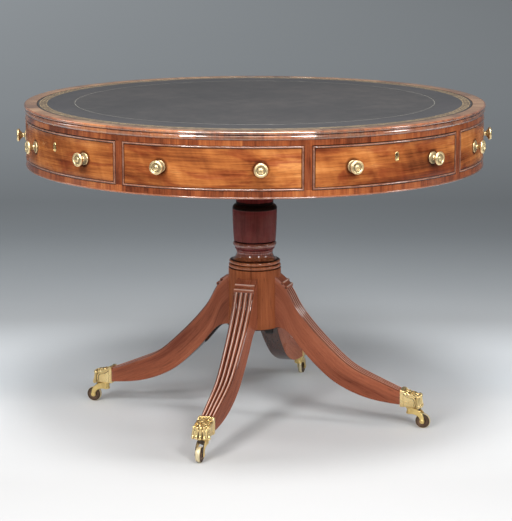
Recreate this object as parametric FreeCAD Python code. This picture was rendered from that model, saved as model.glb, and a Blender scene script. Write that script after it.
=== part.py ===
"""A round library table: a revolving drum with four drawers and four false fronts, on a turned
column with four reeded legs, brass paw caps and casters. Millimetres, +Z up, origin on the floor
under the column. Azimuths run anticlockwise seen from above, from the -Y side.
"""

import FreeCAD
import Part

import math
import os

Vector = FreeCAD.Vector
Z_AXIS = Vector(0, 0, 1)

# Overall sizes
table_height = 755.0
top_diameter = 1070.0
edge_overhang = 4.0          # how far the top's edge stands past the frieze
leg_turn_angle = 38.2        # azimuth of the first leg from the first drawer, in degrees

# Clearances
glue_gap = 0.05              # between glued curved faces
seat_gap = 0.3               # between a piece that turns or slides and its seat
running_gap = 0.06           # round a pin that turns
cut_overrun = 5.0            # how far a cutting tool runs past the face it leaves

# Top
top_thickness = 18.5
upper_reed_height = 7.0
upper_reed_bulge = 3.5
lower_reed_bulge = 2.6
lower_reed_inset = 1.4       # the lower reed stands this much inside the upper one
banding_width = 30.0         # from the edge of the top to the leather
banding_thickness = 1.5
leather_thickness = 1.3
leather_gap = 0.5

# Drum case
frieze_height = 123.5
top_rail_height = 13.0
bottom_rail_height = 17.5
rail_thickness = 22.0        # top rail, stiles and false fronts, front to back
bottom_rail_width = 46.0
stile_width = 19.0
bead_height = 3.6            # round bead along the foot of the frieze
bead_depth = 5.0
bead_projection = 1.6
bottom_board_thickness = 12.0
bottom_board_lift = 1.0      # the board's underside above the foot of the frieze
partition_thickness = 12.0
guide_width = 16.0           # strips under and over the drawers' sides
stop_length = 30.0
stop_depth = 14.0
stop_height = 2.6
stop_spread_share = 0.5      # place of a stop between the middle and the side of a drawer

# Hub and spindle
platform_radius = 150.0
platform_thickness = 24.0
tenon_radius = 30.0          # round tenon of the column in the platform
spindle_radius = 14.0
spindle_seat_depth = 70.0    # how far the spindle is sunk in the column
hub_width = 150.0
hub_height = 62.0
hub_foot_radius = 60.0       # the hub's round foot, which is let into the bottom board
washer_radius = 26.0
washer_thickness = 3.0
nut_width = 34.0
nut_height = 16.0
spindle_tip = 6.0            # what stands above the nut

# Drawers
side_gap = 0.6
top_gap = 1.3
bottom_gap = 0.4
front_thickness = 22.0
side_thickness = 9.0
back_thickness = 8.0
drawer_bottom_thickness = 6.0
drawer_bottom_lift = 3.2     # underside of the drawer's bottom above its lower edge
side_top_gap = 1.5           # between a drawer's sides and the kickers
back_drop = 12.0             # how much lower the back is than the sides
drawer_back_gap = 1.5        # between a closed drawer and the core

# Cock beads round the fronts
cock_bead_width = 3.4
cock_bead_depth = 8.0
cock_bead_projection = 1.5
cock_bead_round_share = 0.42 # radius of the bead's edges, of its width

# Knobs
knob_spread_angle = 11.7     # azimuth of a knob from the middle of its front, in degrees
knob_radius = 14.8
knob_length = 22.5
rose_radius = 13.2
rose_thickness = 2.6
rose_step_radius = 9.0
rose_step = 1.4
knob_neck_radius = 5.2
knob_neck_end = 11.5
knob_rim = 5.0
knob_ring_radius = 11.4      # outer edge of the turned dish in the face
knob_boss_radius = 5.4
knob_dish_depth = 2.4
knob_boss_drop = 0.5
shank_radius = 3.0
shank_gap = 0.1
shank_end = 4.5              # what stands past the nut's seat inside the front
knob_nut_radius = 7.0
knob_nut_height = 3.5

# Locks and keyholes
lock_width = 62.0
lock_height = 37.0
lock_depth = 10.0
lock_plate_thickness = 1.8
lock_rim = 4.0
bolt_width = 18.0
bolt_depth = 4.4
bolt_length = 20.0
bolt_throw = 7.0
bolt_play = 0.3
mortise_play = 1.2
escutcheon_width = 10.0
escutcheon_height = 20.0
escutcheon_depth = 3.0
escutcheon_proud = 0.3
keyhole_drop = 30.0          # keyhole below the underside of the top rail
keyhole_radius = 2.6
keyhole_slot_width = 2.6
keyhole_slot_length = 7.0

# Column, from the foot up
column_drop = 3.0            # the column's foot below the legs' lower edges
block_radius = 62.0
block_rise = 23.0            # the top of the plain block above the legs
quirk_height = 1.6
quirk_depth = 2.4
lower_bead_radius = 61.5
lower_bead_height = 8.0
upper_bead_radius = 60.2
upper_bead_height = 8.0
cove_height = 23.0
neck_radius = 44.0
neck_height = 4.0
fillet_radius = 47.0
fillet_height = 4.0
ring_radius = 51.4
ring_height = 13.0
barrel_foot_radius = 49.4
barrel_middle_radius = 51.8
barrel_radius = 52.4
barrel_middle_share = 0.45
collar_height = 12.5
throat_height = 33.0
capital_cove_height = 30.0
capital_radius = 60.0
capital_height = 14.0

# Legs
leg_top_height = 338.0
leg_foot_height = 56.0
leg_reach = 298.0            # from the column's block to the paw cap
leg_width_top = 48.0
leg_width_foot = 32.0
reed_count = 4
reed_bulge_share = 0.26      # height of a reed, of its width
leg_head_length = 25.0       # plain block above the reeds
leg_head_rise = 1.2          # how far that block stands over the leg's upper line
cross_bead_radius = 3.2
cross_bead_overhang = 0.8
dovetail_depth = 15.0
dovetail_neck_width = 15.0
dovetail_root_width = 22.0
dovetail_stop = 14.0         # below the top of the leg
dovetail_foot = 4.0          # above the leg's lower edge
dovetail_gap = 0.12

# Each station of a leg: reach share and rise share of its upper line, the same of its lower line,
# and the share of the way from the top width to the foot width.
leg_station_shares = (
    (-0.040, 1.037, -0.040, 0.594, 0.00),
    (0.080, 0.926, 0.034, 0.587, 0.02),
    (0.148, 0.798, 0.087, 0.557, 0.06),
    (0.228, 0.681, 0.148, 0.486, 0.12),
    (0.329, 0.562, 0.232, 0.381, 0.22),
    (0.450, 0.436, 0.336, 0.270, 0.35),
    (0.597, 0.306, 0.466, 0.158, 0.52),
    (0.765, 0.219, 0.648, 0.065, 0.72),
    (0.916, 0.153, 0.832, 0.017, 0.90),
    (1.000, 0.118, 1.000, 0.000, 1.00),
)
cross_bead_shares = (0.54, 0.90)  # places of the two beads along the plain block

# Iron brace under the column, and the iron screws
brace_thickness = 3.0
brace_radius = 56.0
brace_arm_width = 18.0
brace_reach_share = 0.20     # how far the arms run out along the legs
wood_screw_radius = 3.0
wood_screw_head_radius = 5.5
wood_screw_head_height = 1.6
wood_screw_length = 34.0
brace_screw_circle_share = 0.55

# Paw caps
cap_length = 52.0
cap_width = 36.0
cap_wall = 2.6
cap_floor = 5.5
cap_bottom = 51.0
cap_back_top = 91.5
cap_front_top = 81.0
cap_band_length = 5.0
cap_band_proud = 1.2
cap_toe_radius = 5.2
cap_toe_height_share = 0.62
cap_toe_count = 5
cap_toe_flare = 3.6          # how far the outer toes stand out past the cheeks
cap_toe_setback = 4.0        # how far the outer toes stand back from the middle one
cap_nose = 6.0               # how much the toes round off the front
tenon_length = 39.0
tenon_gap = 0.2
cap_screw_radius = 2.0
cap_screw_head_radius = 3.6
cap_screw_head_height = 1.0
cap_screw_length = 9.0
cap_screw_setback = 22.0     # from the back of the cap

# Casters
swivel_setback = 21.0        # from the back of the cap to the swivel pin
caster_trail = 31.0          # from the swivel pin to the axle
wheel_radius = 18.0
wheel_width = 12.0
wheel_crown = 1.0
wheel_hub_radius = 6.0
wheel_web_recess = 1.6
wheel_rim_width = 4.0
cheek_gap = 1.0
cheek_thickness = 3.2
cheek_boss_radius = 6.5
horn_block_radius = 10.2
horn_block_height = 18.0
swivel_pin_radius = 4.0
swivel_head_radius = 6.5
swivel_head_height = 3.0
axle_radius = 2.5
axle_head_radius = 3.8
axle_head_height = 1.0

# Derived sizes
top_radius = top_diameter / 2
frieze_radius = top_radius - edge_overhang
leather_radius = top_radius - banding_width
top_underside = table_height - top_thickness
case_bottom = top_underside - frieze_height
opening_top = top_underside - top_rail_height
opening_bottom = case_bottom + bottom_rail_height
rail_inner = frieze_radius - rail_thickness
bottom_rail_inner = frieze_radius - bottom_rail_width
front_pitch_angle = 360 / 8      # eight fronts go round the drum
stile_half_angle = math.degrees(math.asin(stile_width / 2 / frieze_radius))
front_half_angle = front_pitch_angle / 2 - stile_half_angle
opening_half = frieze_radius * math.sin(math.radians(front_half_angle))
bottom_board_bottom = case_bottom + bottom_board_lift
bottom_board_top = bottom_board_bottom + bottom_board_thickness
core_outer = opening_half + partition_thickness
drawer_half = opening_half - side_gap
drawer_back = core_outer + drawer_back_gap
drawer_foot = opening_bottom + bottom_gap
drawer_head = opening_top - top_gap
drawer_side_top = opening_top - side_top_gap
front_inner = frieze_radius - front_thickness
knob_height = (drawer_foot + drawer_head) / 2
keyhole_height = opening_top - keyhole_drop
lock_front = front_inner + lock_depth
platform_top = bottom_board_bottom - seat_gap
platform_bottom = platform_top - platform_thickness
bolt_back = front_inner + lock_depth / 2 - bolt_depth / 2
leg_rise = leg_top_height - leg_foot_height
leg_root_height = leg_foot_height + leg_rise * leg_station_shares[0][3]
column_foot = leg_root_height - column_drop
block_top = leg_top_height + block_rise
socket_radius = block_radius + leg_reach
swivel_radius = socket_radius + swivel_setback
axle_place = swivel_radius + caster_trail
cheek_inner = wheel_width / 2 + cheek_gap
horn_top = cap_bottom - seat_gap
far = top_diameter           # past every outline seen from above


def box(x0, x1, y0, y1, z0, z1):
    """A block between two corners."""
    return Part.makeBox(x1 - x0, y1 - y0, z1 - z0, Vector(x0, y0, z0))


def rod(radius, z0, z1, x=0.0, y=0.0):
    """An upright cylinder."""
    return Part.makeCylinder(radius, z1 - z0, Vector(x, y, z0))


def ring(outer, inner, z0, z1):
    """An upright tube round the table's axis."""
    return rod(outer, z0, z1).cut(rod(inner, z0 - cut_overrun, z1 + cut_overrun))


def outward_rod(radius, x0, x1, y=0.0, z=0.0):
    """A cylinder that lies along X."""
    return Part.makeCylinder(radius, x1 - x0, Vector(x0, y, z), Vector(1, 0, 0))


def cross_rod(radius, x, z, y0, y1):
    """A cylinder that lies along Y."""
    return Part.makeCylinder(radius, y1 - y0, Vector(x, y0, z), Vector(0, 1, 0))


def prism(points, z0, z1):
    """A flat outline in X and Y, carried up from z0 to z1."""
    corners = [Vector(x, y, z0) for x, y in points]
    return Part.Face(Part.makePolygon(corners + corners[:1])).extrude(Vector(0, 0, z1 - z0))


def slab(face, half_width):
    """A face in the XZ plane, carried to both sides along Y."""
    face.translate(Vector(0, -half_width, 0))
    return face.extrude(Vector(0, 2 * half_width, 0))


class Outline:
    """An outline in the XZ plane, drawn with lines and arcs."""

    def __init__(self, x, z):
        self.start = Vector(x, 0, z)
        self.at = self.start
        self.edges = []

    def line(self, x, z):
        """A straight edge to a point, left out where it has no length."""
        to = Vector(x, 0, z)
        if to.distanceToPoint(self.at) > 0:
            self.edges.append(Part.LineSegment(self.at, to).toShape())
        self.at = to
        return self

    def arc(self, through, to):
        """An arc through one point to another, each given as (x, z)."""
        middle, end = (Vector(x, 0, z) for x, z in (through, to))
        self.edges.append(Part.Arc(self.at, middle, end).toShape())
        self.at = end
        return self

    def quarter(self, x, z, level):
        """About a quarter of a circle to a point, which starts level or upright."""
        share = math.sin(math.radians(45))
        across, up = (share, 1 - share) if level else (1 - share, share)
        start = self.at
        through = (start.x + (x - start.x) * across, start.z + (z - start.z) * up)
        return self.arc(through, (x, z))

    def dome(self, z):
        """An arc to the Z axis that meets it level."""
        width, height = self.at.x, z - self.at.z
        radius = (width ** 2 + height ** 2) / (2 * height)
        half_angle = math.asin(width / radius) / 2
        across, drop = radius * math.sin(half_angle), radius * (1 - math.cos(half_angle))
        return self.arc((across, z - drop), (0, z))

    def face(self):
        """The closed outline as a face."""
        self.line(self.start.x, self.start.z)
        return Part.Face(Part.Wire(self.edges))

    def turned(self):
        """The closed outline turned once round the Z axis."""
        return self.face().revolve(Vector(0, 0, 0), Z_AXIS, 360)


def to_azimuth(shape, azimuth):
    """A copy of a shape drawn along +X, turned to an azimuth."""
    copy = shape.copy()
    copy.rotate(Vector(0, 0, 0), Z_AXIS, azimuth - 90)
    return copy


def drawer_azimuths():
    """Azimuths of the four drawers. A false front stands between each two."""
    return [90 * k for k in range(4)]


def save(name, *shapes):
    """Writes one node, with each piece as a solid of its own."""
    solids = [solid for shape in shapes for solid in shape.Solids]
    Part.makeCompound(solids).exportStep(f"parts/{name}.step")


def moved(shape, x, y, z):
    """A copy of a shape, moved."""
    copy = shape.copy()
    copy.translate(Vector(x, y, z))
    return copy


# Top


def top_board():
    """The board with its two edge reeds, lowered under the banding and the leather."""
    reed_root = top_radius - upper_reed_bulge
    lower_tip = top_radius - lower_reed_inset
    lower_root = lower_tip - lower_reed_bulge
    split = table_height - upper_reed_height
    ground = table_height - banding_thickness
    return (
        Outline(0, top_underside)
        .line(lower_root, top_underside)
        .arc((lower_tip, (top_underside + split) / 2), (lower_root, split))
        .line(reed_root, split)
        .arc((top_radius, (split + table_height) / 2), (reed_root, table_height))
        .line(reed_root, ground)
        .line(0, ground)
        .turned()
    )


def crossbanding():
    """The ring of veneer round the leather."""
    outer = top_radius - upper_reed_bulge - glue_gap
    return ring(outer, leather_radius, table_height - banding_thickness, table_height)


def writing_leather():
    """The leather disc inside the banding."""
    ground = table_height - banding_thickness
    return rod(leather_radius - leather_gap, ground, ground + leather_thickness)


# Drum case


def front_plan(inset, z0, z1, drawer):
    """The space of a front seen from above, drawn in by an inset at both ends.

    A drawer's ends are parallel to its travel. A false front's ends point at the table's axis.
    """
    if drawer:
        half = drawer_half - inset
        return box(0, far, -half, half, z0, z1)
    angle = math.radians(front_half_angle)
    tip = inset / math.sin(angle)
    reach = far * math.tan(angle)
    return prism([(tip, 0), (tip + far, -reach), (tip + far, reach)], z0, z1)


def front_limits(drawer):
    """Lower and upper edge of a front."""
    return (drawer_foot, drawer_head) if drawer else (opening_bottom, opening_top)


def cock_bead_strips(drawer):
    """The four beads round a front: two that follow its curve and two upright ones."""
    low, high = front_limits(drawer)
    back = frieze_radius - cock_bead_depth
    nose = frieze_radius + cock_bead_projection
    strips = []
    for z0 in (low, high - cock_bead_width):
        z1 = z0 + cock_bead_width
        turned = (
            Outline(back, z0)
            .line(frieze_radius, z0)
            .arc((nose, (z0 + z1) / 2), (frieze_radius, z1))
            .line(back, z1)
            .turned()
        )
        strips.append(turned.common(front_plan(0, z0, z1, drawer)))
    z0, z1 = low + cock_bead_width, high - cock_bead_width
    uprights = ring(nose, back, z0, z1).common(front_plan(0, z0, z1, drawer))
    uprights = uprights.cut(front_plan(cock_bead_width, z0 - cut_overrun, z1 + cut_overrun, drawer))
    for strip in uprights.Solids:
        edges = [e for e in strip.Edges if is_upright(e) and edge_radius(e) > frieze_radius]
        strips.append(strip.makeFillet(cock_bead_width * cock_bead_round_share, edges))
    return strips


def is_upright(edge):
    """Whether an edge runs along Z."""
    first, last = edge.Vertexes[0].Point, edge.Vertexes[-1].Point
    return abs(last.z - first.z) > cock_bead_width and (last - first).cross(Z_AXIS).Length < glue_gap


def edge_radius(edge):
    """Distance of an edge's middle from the table's axis."""
    centre = edge.CenterOfMass
    return math.hypot(centre.x, centre.y)


def front_panel(drawer):
    """The panel inside the cock beads, with room for them and holes for the knobs."""
    low, high = front_limits(drawer)
    inner = front_inner if drawer else rail_inner
    panel = ring(frieze_radius, inner, low, high).common(front_plan(0, low, high, drawer))
    kept = front_plan(cock_bead_width, low + cock_bead_width, high - cock_bead_width, drawer)
    rebate = ring(far, frieze_radius - cock_bead_depth, low, high).cut(kept)
    panel = panel.cut(rebate)
    for azimuth in (-knob_spread_angle, knob_spread_angle):
        hole = outward_rod(shank_radius + shank_gap, inner - cut_overrun, far, 0, knob_height)
        panel = panel.cut(turned_by(hole, azimuth))
    return panel


def turned_by(shape, degrees):
    """A copy of a shape turned round the Z axis."""
    copy = shape.copy()
    copy.rotate(Vector(0, 0, 0), Z_AXIS, degrees)
    return copy


def top_rail():
    """The upper rail of the frieze, with a mortise over each lock for its bolt."""
    rail = ring(frieze_radius, rail_inner, opening_top, top_underside)
    half = bolt_width / 2 + mortise_play
    depth = bolt_throw - top_gap + mortise_play
    mortise = box(bolt_back - mortise_play, bolt_back + bolt_depth + mortise_play, -half, half,
                  opening_top - cut_overrun, opening_top + depth)
    for azimuth in drawer_azimuths():
        rail = rail.cut(to_azimuth(mortise, azimuth))
    return rail


def bottom_rail():
    """The lower rail of the frieze, rebated along its foot for the round bead."""
    rail = ring(frieze_radius, bottom_rail_inner, case_bottom, opening_bottom)
    rebate = ring(far, frieze_radius - bead_depth, case_bottom - cut_overrun, case_bottom + bead_height)
    return rail.cut(rebate)


def bottom_bead():
    """The round bead along the foot of the frieze."""
    back = frieze_radius - bead_depth + glue_gap
    upper = case_bottom + bead_height
    nose = frieze_radius + bead_projection
    return (
        Outline(back, case_bottom)
        .line(frieze_radius, case_bottom)
        .arc((nose, (case_bottom + upper) / 2), (frieze_radius, upper))
        .line(back, upper)
        .turned()
    )


def stiles():
    """The posts between the fronts: one side along a drawer, the other along a false front."""
    angle = math.radians(front_pitch_angle - front_half_angle)
    apex = opening_half / math.tan(angle)
    wedge = prism([(apex, opening_half), (far, opening_half), (far, far * math.tan(angle))],
                  opening_bottom, opening_top)
    post = ring(frieze_radius, rail_inner, opening_bottom, opening_top).common(wedge)
    other = post.mirror(Vector(0, 0, 0), Vector(0, 1, 0))
    return [to_azimuth(side, azimuth) for azimuth in drawer_azimuths() for side in (post, other)]


def partitions():
    """The upright boards beside the drawers, and the four boards of the core behind them."""
    z0, z1 = bottom_board_top, top_underside
    board = box(core_outer, far, opening_half, core_outer, z0, z1)
    board = board.common(rod(bottom_rail_inner - glue_gap, z0, z1).fuse(
        rod(rail_inner - glue_gap, opening_bottom, opening_top)))
    other = board.mirror(Vector(0, 0, 0), Vector(0, 1, 0))
    core = box(opening_half, core_outer, -core_outer, opening_half, z0, z1)
    return [to_azimuth(s, azimuth) for azimuth in drawer_azimuths() for s in (board, other, core)]


def drawer_guides():
    """The strips under and over each drawer's sides, and the stops behind its front."""
    below = rod(bottom_rail_inner - glue_gap, bottom_board_top, opening_bottom)
    above = rod(rail_inner - glue_gap, opening_top, top_underside)
    half = drawer_half * stop_spread_share
    stop_front = math.sqrt(front_inner ** 2 - (half + stop_length / 2) ** 2) - seat_gap
    pieces = []
    for side in (-1, 1):
        near, edge = sorted((side * (opening_half - guide_width), side * opening_half))
        pieces.append(box(core_outer, far, near, edge, bottom_board_top, opening_bottom).common(below))
        pieces.append(box(core_outer, far, near, edge, opening_top, top_underside).common(above))
        left, right = side * half - stop_length / 2, side * half + stop_length / 2
        pieces.append(box(stop_front - stop_depth, stop_front, left, right, opening_bottom,
                          opening_bottom + stop_height))
    return [to_azimuth(piece, azimuth) for azimuth in drawer_azimuths() for piece in pieces]


def drum_bottom():
    """The board that closes the case, with a hole for the hub's foot."""
    return ring(bottom_rail_inner - glue_gap, hub_foot_radius, bottom_board_bottom, bottom_board_top)


def hub_block():
    """The block in the core that turns on the spindle, with a round foot in the bottom board."""
    half = hub_width / 2
    block = box(-half, half, -half, half, bottom_board_top, hub_top())
    block = block.fuse(rod(hub_foot_radius - glue_gap, bottom_board_bottom, bottom_board_top))
    return block.cut(rod(spindle_radius + running_gap, case_bottom - cut_overrun, table_height))


# Drawers


def drawer_box():
    """Two sides, a back and a bottom. The sides and the bottom end on the front's curved back."""
    inside = rod(front_inner - glue_gap, drawer_foot, drawer_side_top)
    floor = drawer_foot + drawer_bottom_lift
    floor_top = floor + drawer_bottom_thickness
    inner = drawer_half - side_thickness
    sides = [box(drawer_back, far, y0, y0 + side_thickness, drawer_foot, drawer_side_top).common(inside)
             for y0 in (-drawer_half, inner)]
    back = box(drawer_back, drawer_back + back_thickness, -inner, inner, floor_top,
               drawer_side_top - back_drop)
    bottom = box(drawer_back, far, -inner, inner, floor, floor_top).common(inside)
    return [*sides, back, bottom]


def keyhole(x0, x1):
    """A round hole with a slot under it, cut along X."""
    hole = outward_rod(keyhole_radius, x0, x1, 0, keyhole_height)
    half = keyhole_slot_width / 2
    return hole.fuse(box(x0, x1, -half, half, keyhole_height - keyhole_slot_length, keyhole_height))


def stadium(width, height, x0, x1, middle):
    """An upright block along X with round ends, as deep as x0 to x1."""
    radius = width / 2
    straight = height / 2 - radius
    body = box(x0, x1, -radius, radius, middle - straight, middle + straight)
    for z in (middle - straight, middle + straight):
        body = body.fuse(outward_rod(radius, x0, x1, 0, z))
    return body.removeSplitter()


def escutcheon_middle():
    """Height of the middle of the escutcheon."""
    return keyhole_height - keyhole_slot_length / 2


def lock_recess():
    """The recess for a lock in the back of a drawer's front."""
    half = lock_width / 2
    return box(front_inner - cut_overrun, lock_front, -half, half, drawer_head - lock_height, far)


def drawer_front():
    """The panel with its lock's recess, its keyhole and the seat of the escutcheon."""
    seat = stadium(escutcheon_width, escutcheon_height, frieze_radius - escutcheon_depth, far,
                   escutcheon_middle())
    panel = front_panel(True).cut(lock_recess()).cut(seat)
    return panel.cut(keyhole(front_inner - cut_overrun, far))


def lock_case():
    """A brass lock: a box with a plate at its back and its top, open above for the bolt."""
    half = lock_width / 2
    low = drawer_head - lock_height
    case = box(front_inner, lock_front, -half, half, low, drawer_head)
    hollow_half = bolt_width / 2 + bolt_play
    floor = drawer_head - bolt_length - 2 * bolt_play
    hollow = box(bolt_back - bolt_play, bolt_back + bolt_depth + bolt_play, -hollow_half, hollow_half,
                 floor, far)
    works = box(front_inner + lock_plate_thickness, lock_front - lock_plate_thickness,
                -half + lock_rim, half - lock_rim, low + lock_rim, floor - lock_rim)
    return case.cut(hollow).cut(works).cut(keyhole(front_inner - cut_overrun, far))


def escutcheon():
    """The oval brass plate round a keyhole."""
    x0, x1 = frieze_radius - escutcheon_depth, frieze_radius + escutcheon_proud
    plate = stadium(escutcheon_width, escutcheon_height, x0, x1, escutcheon_middle())
    return plate.cut(keyhole(x0 - cut_overrun, x1 + cut_overrun))


def lock_bolt():
    """The bolt, drawn back into its lock."""
    half = bolt_width / 2
    top = drawer_head - bolt_play
    return box(bolt_back, bolt_back + bolt_depth, -half, half, top - bolt_length, top)


def knob(inner):
    """A turned brass knob on its rose, with a threaded shank and its nut behind the front."""
    face = frieze_radius + glue_gap
    tip = face + knob_length
    rim = tip - knob_rim / 2
    end = inner - glue_gap - knob_nut_height - shank_end
    step = face + rose_thickness + rose_step
    # The profile is drawn upright, with its height along the knob's axis, and laid down afterwards.
    profile = (
        Outline(0, end)
        .line(shank_radius, end)
        .line(shank_radius, face)
        .line(rose_radius, face)
        .line(rose_radius, face + rose_thickness)
        .line(rose_step_radius, face + rose_thickness)
        .line(rose_step_radius, step)
        .line(knob_neck_radius, step)
        .line(knob_neck_radius, face + knob_neck_end)
        .line(knob_radius, tip - knob_rim)
        .arc((knob_radius + glue_gap, rim), (knob_ring_radius, tip))
        .line(knob_boss_radius, tip - knob_dish_depth)
        .dome(tip - knob_boss_drop)
        .turned()
    )
    nut = rod(knob_nut_radius, inner - glue_gap - knob_nut_height, inner - glue_gap)
    nut = nut.cut(rod(shank_radius + glue_gap, 0, far))
    laid = []
    for piece in (profile, nut):
        piece.rotate(Vector(0, 0, 0), Vector(0, 1, 0), 90)
        piece.translate(Vector(0, 0, knob_height))
        laid.append(piece)
    return laid


def knob_pair(inner):
    """The two knobs of a front, with their nuts."""
    pieces = knob(inner)
    return [turned_by(piece, turn) for turn in (-knob_spread_angle, knob_spread_angle) for piece in pieces]


# Column, platform and spindle


def column():
    """The turned column, with dovetail slots in its block and a socket for the spindle."""
    z = block_top
    profile = Outline(0, column_foot).line(block_radius, column_foot).line(block_radius, z)
    beads = ((lower_bead_radius, lower_bead_height), (upper_bead_radius, upper_bead_height))
    for radius, height in beads:
        root = radius - quirk_depth
        profile.line(root, z).line(root, z + quirk_height)
        z += quirk_height
        profile.arc((radius, z + height / 2), (root, z + height))
        z += height
    root = upper_bead_radius - quirk_depth
    profile.quarter(neck_radius, z + cove_height, True)
    z += cove_height + neck_height
    profile.line(neck_radius, z).line(fillet_radius, z)
    z += fillet_height
    profile.line(fillet_radius, z).arc((ring_radius, z + ring_height / 2), (fillet_radius, z + ring_height))
    z += ring_height
    profile.line(fillet_radius, z + quirk_height).line(barrel_foot_radius, z + quirk_height)
    z += quirk_height
    capital_foot = platform_bottom - capital_height
    throat_top = capital_foot - capital_cove_height
    collar_foot = throat_top - throat_height - collar_height
    middle = z + (collar_foot - z) * barrel_middle_share
    profile.arc((barrel_middle_radius, middle), (barrel_radius, collar_foot))
    profile.quarter(neck_radius, collar_foot + collar_height, False)
    profile.line(neck_radius, throat_top).quarter(capital_radius, capital_foot, False)
    profile.line(capital_radius, platform_bottom).line(tenon_radius, platform_bottom)
    profile.line(tenon_radius, platform_top).line(0, platform_top)
    shaft = profile.turned()
    socket = spindle_radius + glue_gap
    shaft = shaft.cut(rod(socket, platform_top - spindle_seat_depth, table_height))
    slot = dovetail(dovetail_gap, column_foot - cut_overrun, leg_top_height - dovetail_stop + dovetail_gap)
    for azimuth in leg_azimuths():
        shaft = shaft.cut(to_azimuth(slot, azimuth))
    return shaft


def bearing_platform():
    """The round board on the column that the drum turns on."""
    return ring(platform_radius, tenon_radius + glue_gap, platform_bottom, platform_top)


def spindle():
    """The iron pin that is sunk in the column and stands up through the drum's hub."""
    return rod(spindle_radius, platform_top - spindle_seat_depth, spindle_top())


def hub_top():
    """Height of the hub block's upper face."""
    return bottom_board_top + hub_height


def spindle_top():
    """Height of the spindle's end."""
    return hub_top() + seat_gap + washer_thickness + nut_height + spindle_tip


def spindle_nut():
    """The washer and the square nut that keep the drum on the spindle."""
    z0 = hub_top() + seat_gap
    z1 = z0 + washer_thickness
    half = nut_width / 2
    nut = box(-half, half, -half, half, z1, z1 + nut_height)
    hole = spindle_radius + glue_gap
    return [ring(washer_radius, hole, z0, z1), nut.cut(rod(hole, z0, far))]


# Legs


def leg_azimuths():
    """Azimuths of the four legs."""
    return [leg_turn_angle + 90 * k for k in range(4)]


def leg_point(reach_share, rise_share):
    """A point of a leg's side outline, as (x, z)."""
    return block_radius + leg_reach * reach_share, leg_foot_height + leg_rise * rise_share


def leg_half_width(share):
    """Half the width of a leg, at a share of the way from its top width to its foot width."""
    return (leg_width_top + (leg_width_foot - leg_width_top) * share) / 2


def leg_section(upper_reach, upper_rise, lower_reach, lower_rise, width_share):
    """The outline of a leg at one station: a flat underside, flat cheeks and reeds on top."""
    (xu, zu), (xl, zl) = leg_point(upper_reach, upper_rise), leg_point(lower_reach, lower_rise)
    half = leg_half_width(width_share)
    up = Vector(xu - xl, 0, zu - zl).normalize()
    pitch = 2 * half / reed_count
    bulge = up * (pitch * reed_bulge_share)
    upper, lower = Vector(xu, 0, zu) - bulge, Vector(xl, 0, zl)
    across = Vector(0, 1, 0)
    edges = [
        Part.LineSegment(lower + across * half, lower - across * half).toShape(),
        Part.LineSegment(lower - across * half, upper - across * half).toShape(),
    ]
    for k in range(reed_count):
        y0 = -half + pitch * k
        edges.append(Part.Arc(upper + across * y0, upper + across * (y0 + pitch / 2) + bulge,
                              upper + across * (y0 + pitch)).toShape())
    edges.append(Part.LineSegment(upper + across * half, lower + across * half).toShape())
    return Part.Wire(edges)


def leg_head_line(x):
    """Height of the leg's upper line over a place on its head, where it is straight."""
    (x0, z0), (x1, z1) = (leg_point(*leg_station_shares[k][:2]) for k in (0, 1))
    return z0 + (z1 - z0) * (x - x0) / (x1 - x0)


def leg_head_outline(rise):
    """Side outline of the plain block at the top of a leg, raised above the leg's upper line."""
    x0, x1 = leg_point(leg_station_shares[0][0], 0)[0], block_radius + leg_head_length
    low = leg_head_line(x1) - leg_head_length
    return (
        Outline(x0, low)
        .line(x1, low)
        .line(x1, leg_head_line(x1) + rise)
        .line(x0, leg_head_line(x0) + rise)
        .face()
    )


def leg_head():
    """The plain block above the reeds, with two beads across it."""
    width = leg_half_width(0)
    head = slab(leg_head_outline(leg_head_rise), width)
    half = width + cross_bead_overhang
    for share in cross_bead_shares:
        x = block_radius + leg_head_length * share
        head = head.fuse(cross_rod(cross_bead_radius, x, leg_head_line(x) + leg_head_rise, -half, half))
    return head


def dovetail(gap, z0, z1):
    """The tongue of a leg in the column, grown by a gap on its sides and its inner end."""
    neck, root = dovetail_neck_width / 2 + gap, dovetail_root_width / 2 + gap
    inner, outer = block_radius - dovetail_depth - gap, block_radius + dovetail_foot
    return prism([(inner, -root), (outer, -neck), (outer, neck), (inner, root)], z0, z1)


def leg_blank():
    """The swept body of a leg with its head, hollowed to fit round the column."""
    sections = [leg_section(*station) for station in leg_station_shares]
    reeded = Part.makeLoft(sections, True, False)
    reeded = reeded.cut(slab(leg_head_outline(leg_head_length), leg_width_top))
    return reeded.fuse(leg_head()).cut(rod(block_radius + glue_gap, 0, table_height))


def leg():
    """A whole leg: its body, a dovetail towards the column and a tenon for the paw cap."""
    tongue = dovetail(0, leg_root_height + dovetail_foot, leg_top_height - dovetail_stop)
    wood = leg_blank().fuse(tongue).fuse(leg_tenon()).removeSplitter()
    for side in (-1, 1):
        wood = wood.cut(cap_screw(side))
    return wood


def cap_hollow(gap, length):
    """The space inside a paw cap, drawn in by a gap."""
    half = cap_width / 2 - cap_wall - gap
    low = cap_bottom + cap_floor + gap
    high = cap_front_top - cap_wall - gap
    return box(socket_radius, socket_radius + length, -half, half, low, high)


def leg_tenon():
    """The end of a leg inside its paw cap, hollowed over the swivel pin's head."""
    tenon = cap_hollow(tenon_gap, tenon_length)
    half = leg_half_width(1)
    overlap = box(socket_radius - cap_wall, socket_radius, -half + cap_wall, half - cap_wall,
                  cap_bottom + cap_floor + tenon_gap, cap_front_top - cap_wall - tenon_gap)
    pocket = rod(swivel_head_radius + cheek_gap, 0,
                 cap_bottom + cap_floor + seat_gap + swivel_head_height + cheek_gap, swivel_radius)
    return tenon.fuse(overlap).cut(pocket)


# Iron brace


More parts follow.
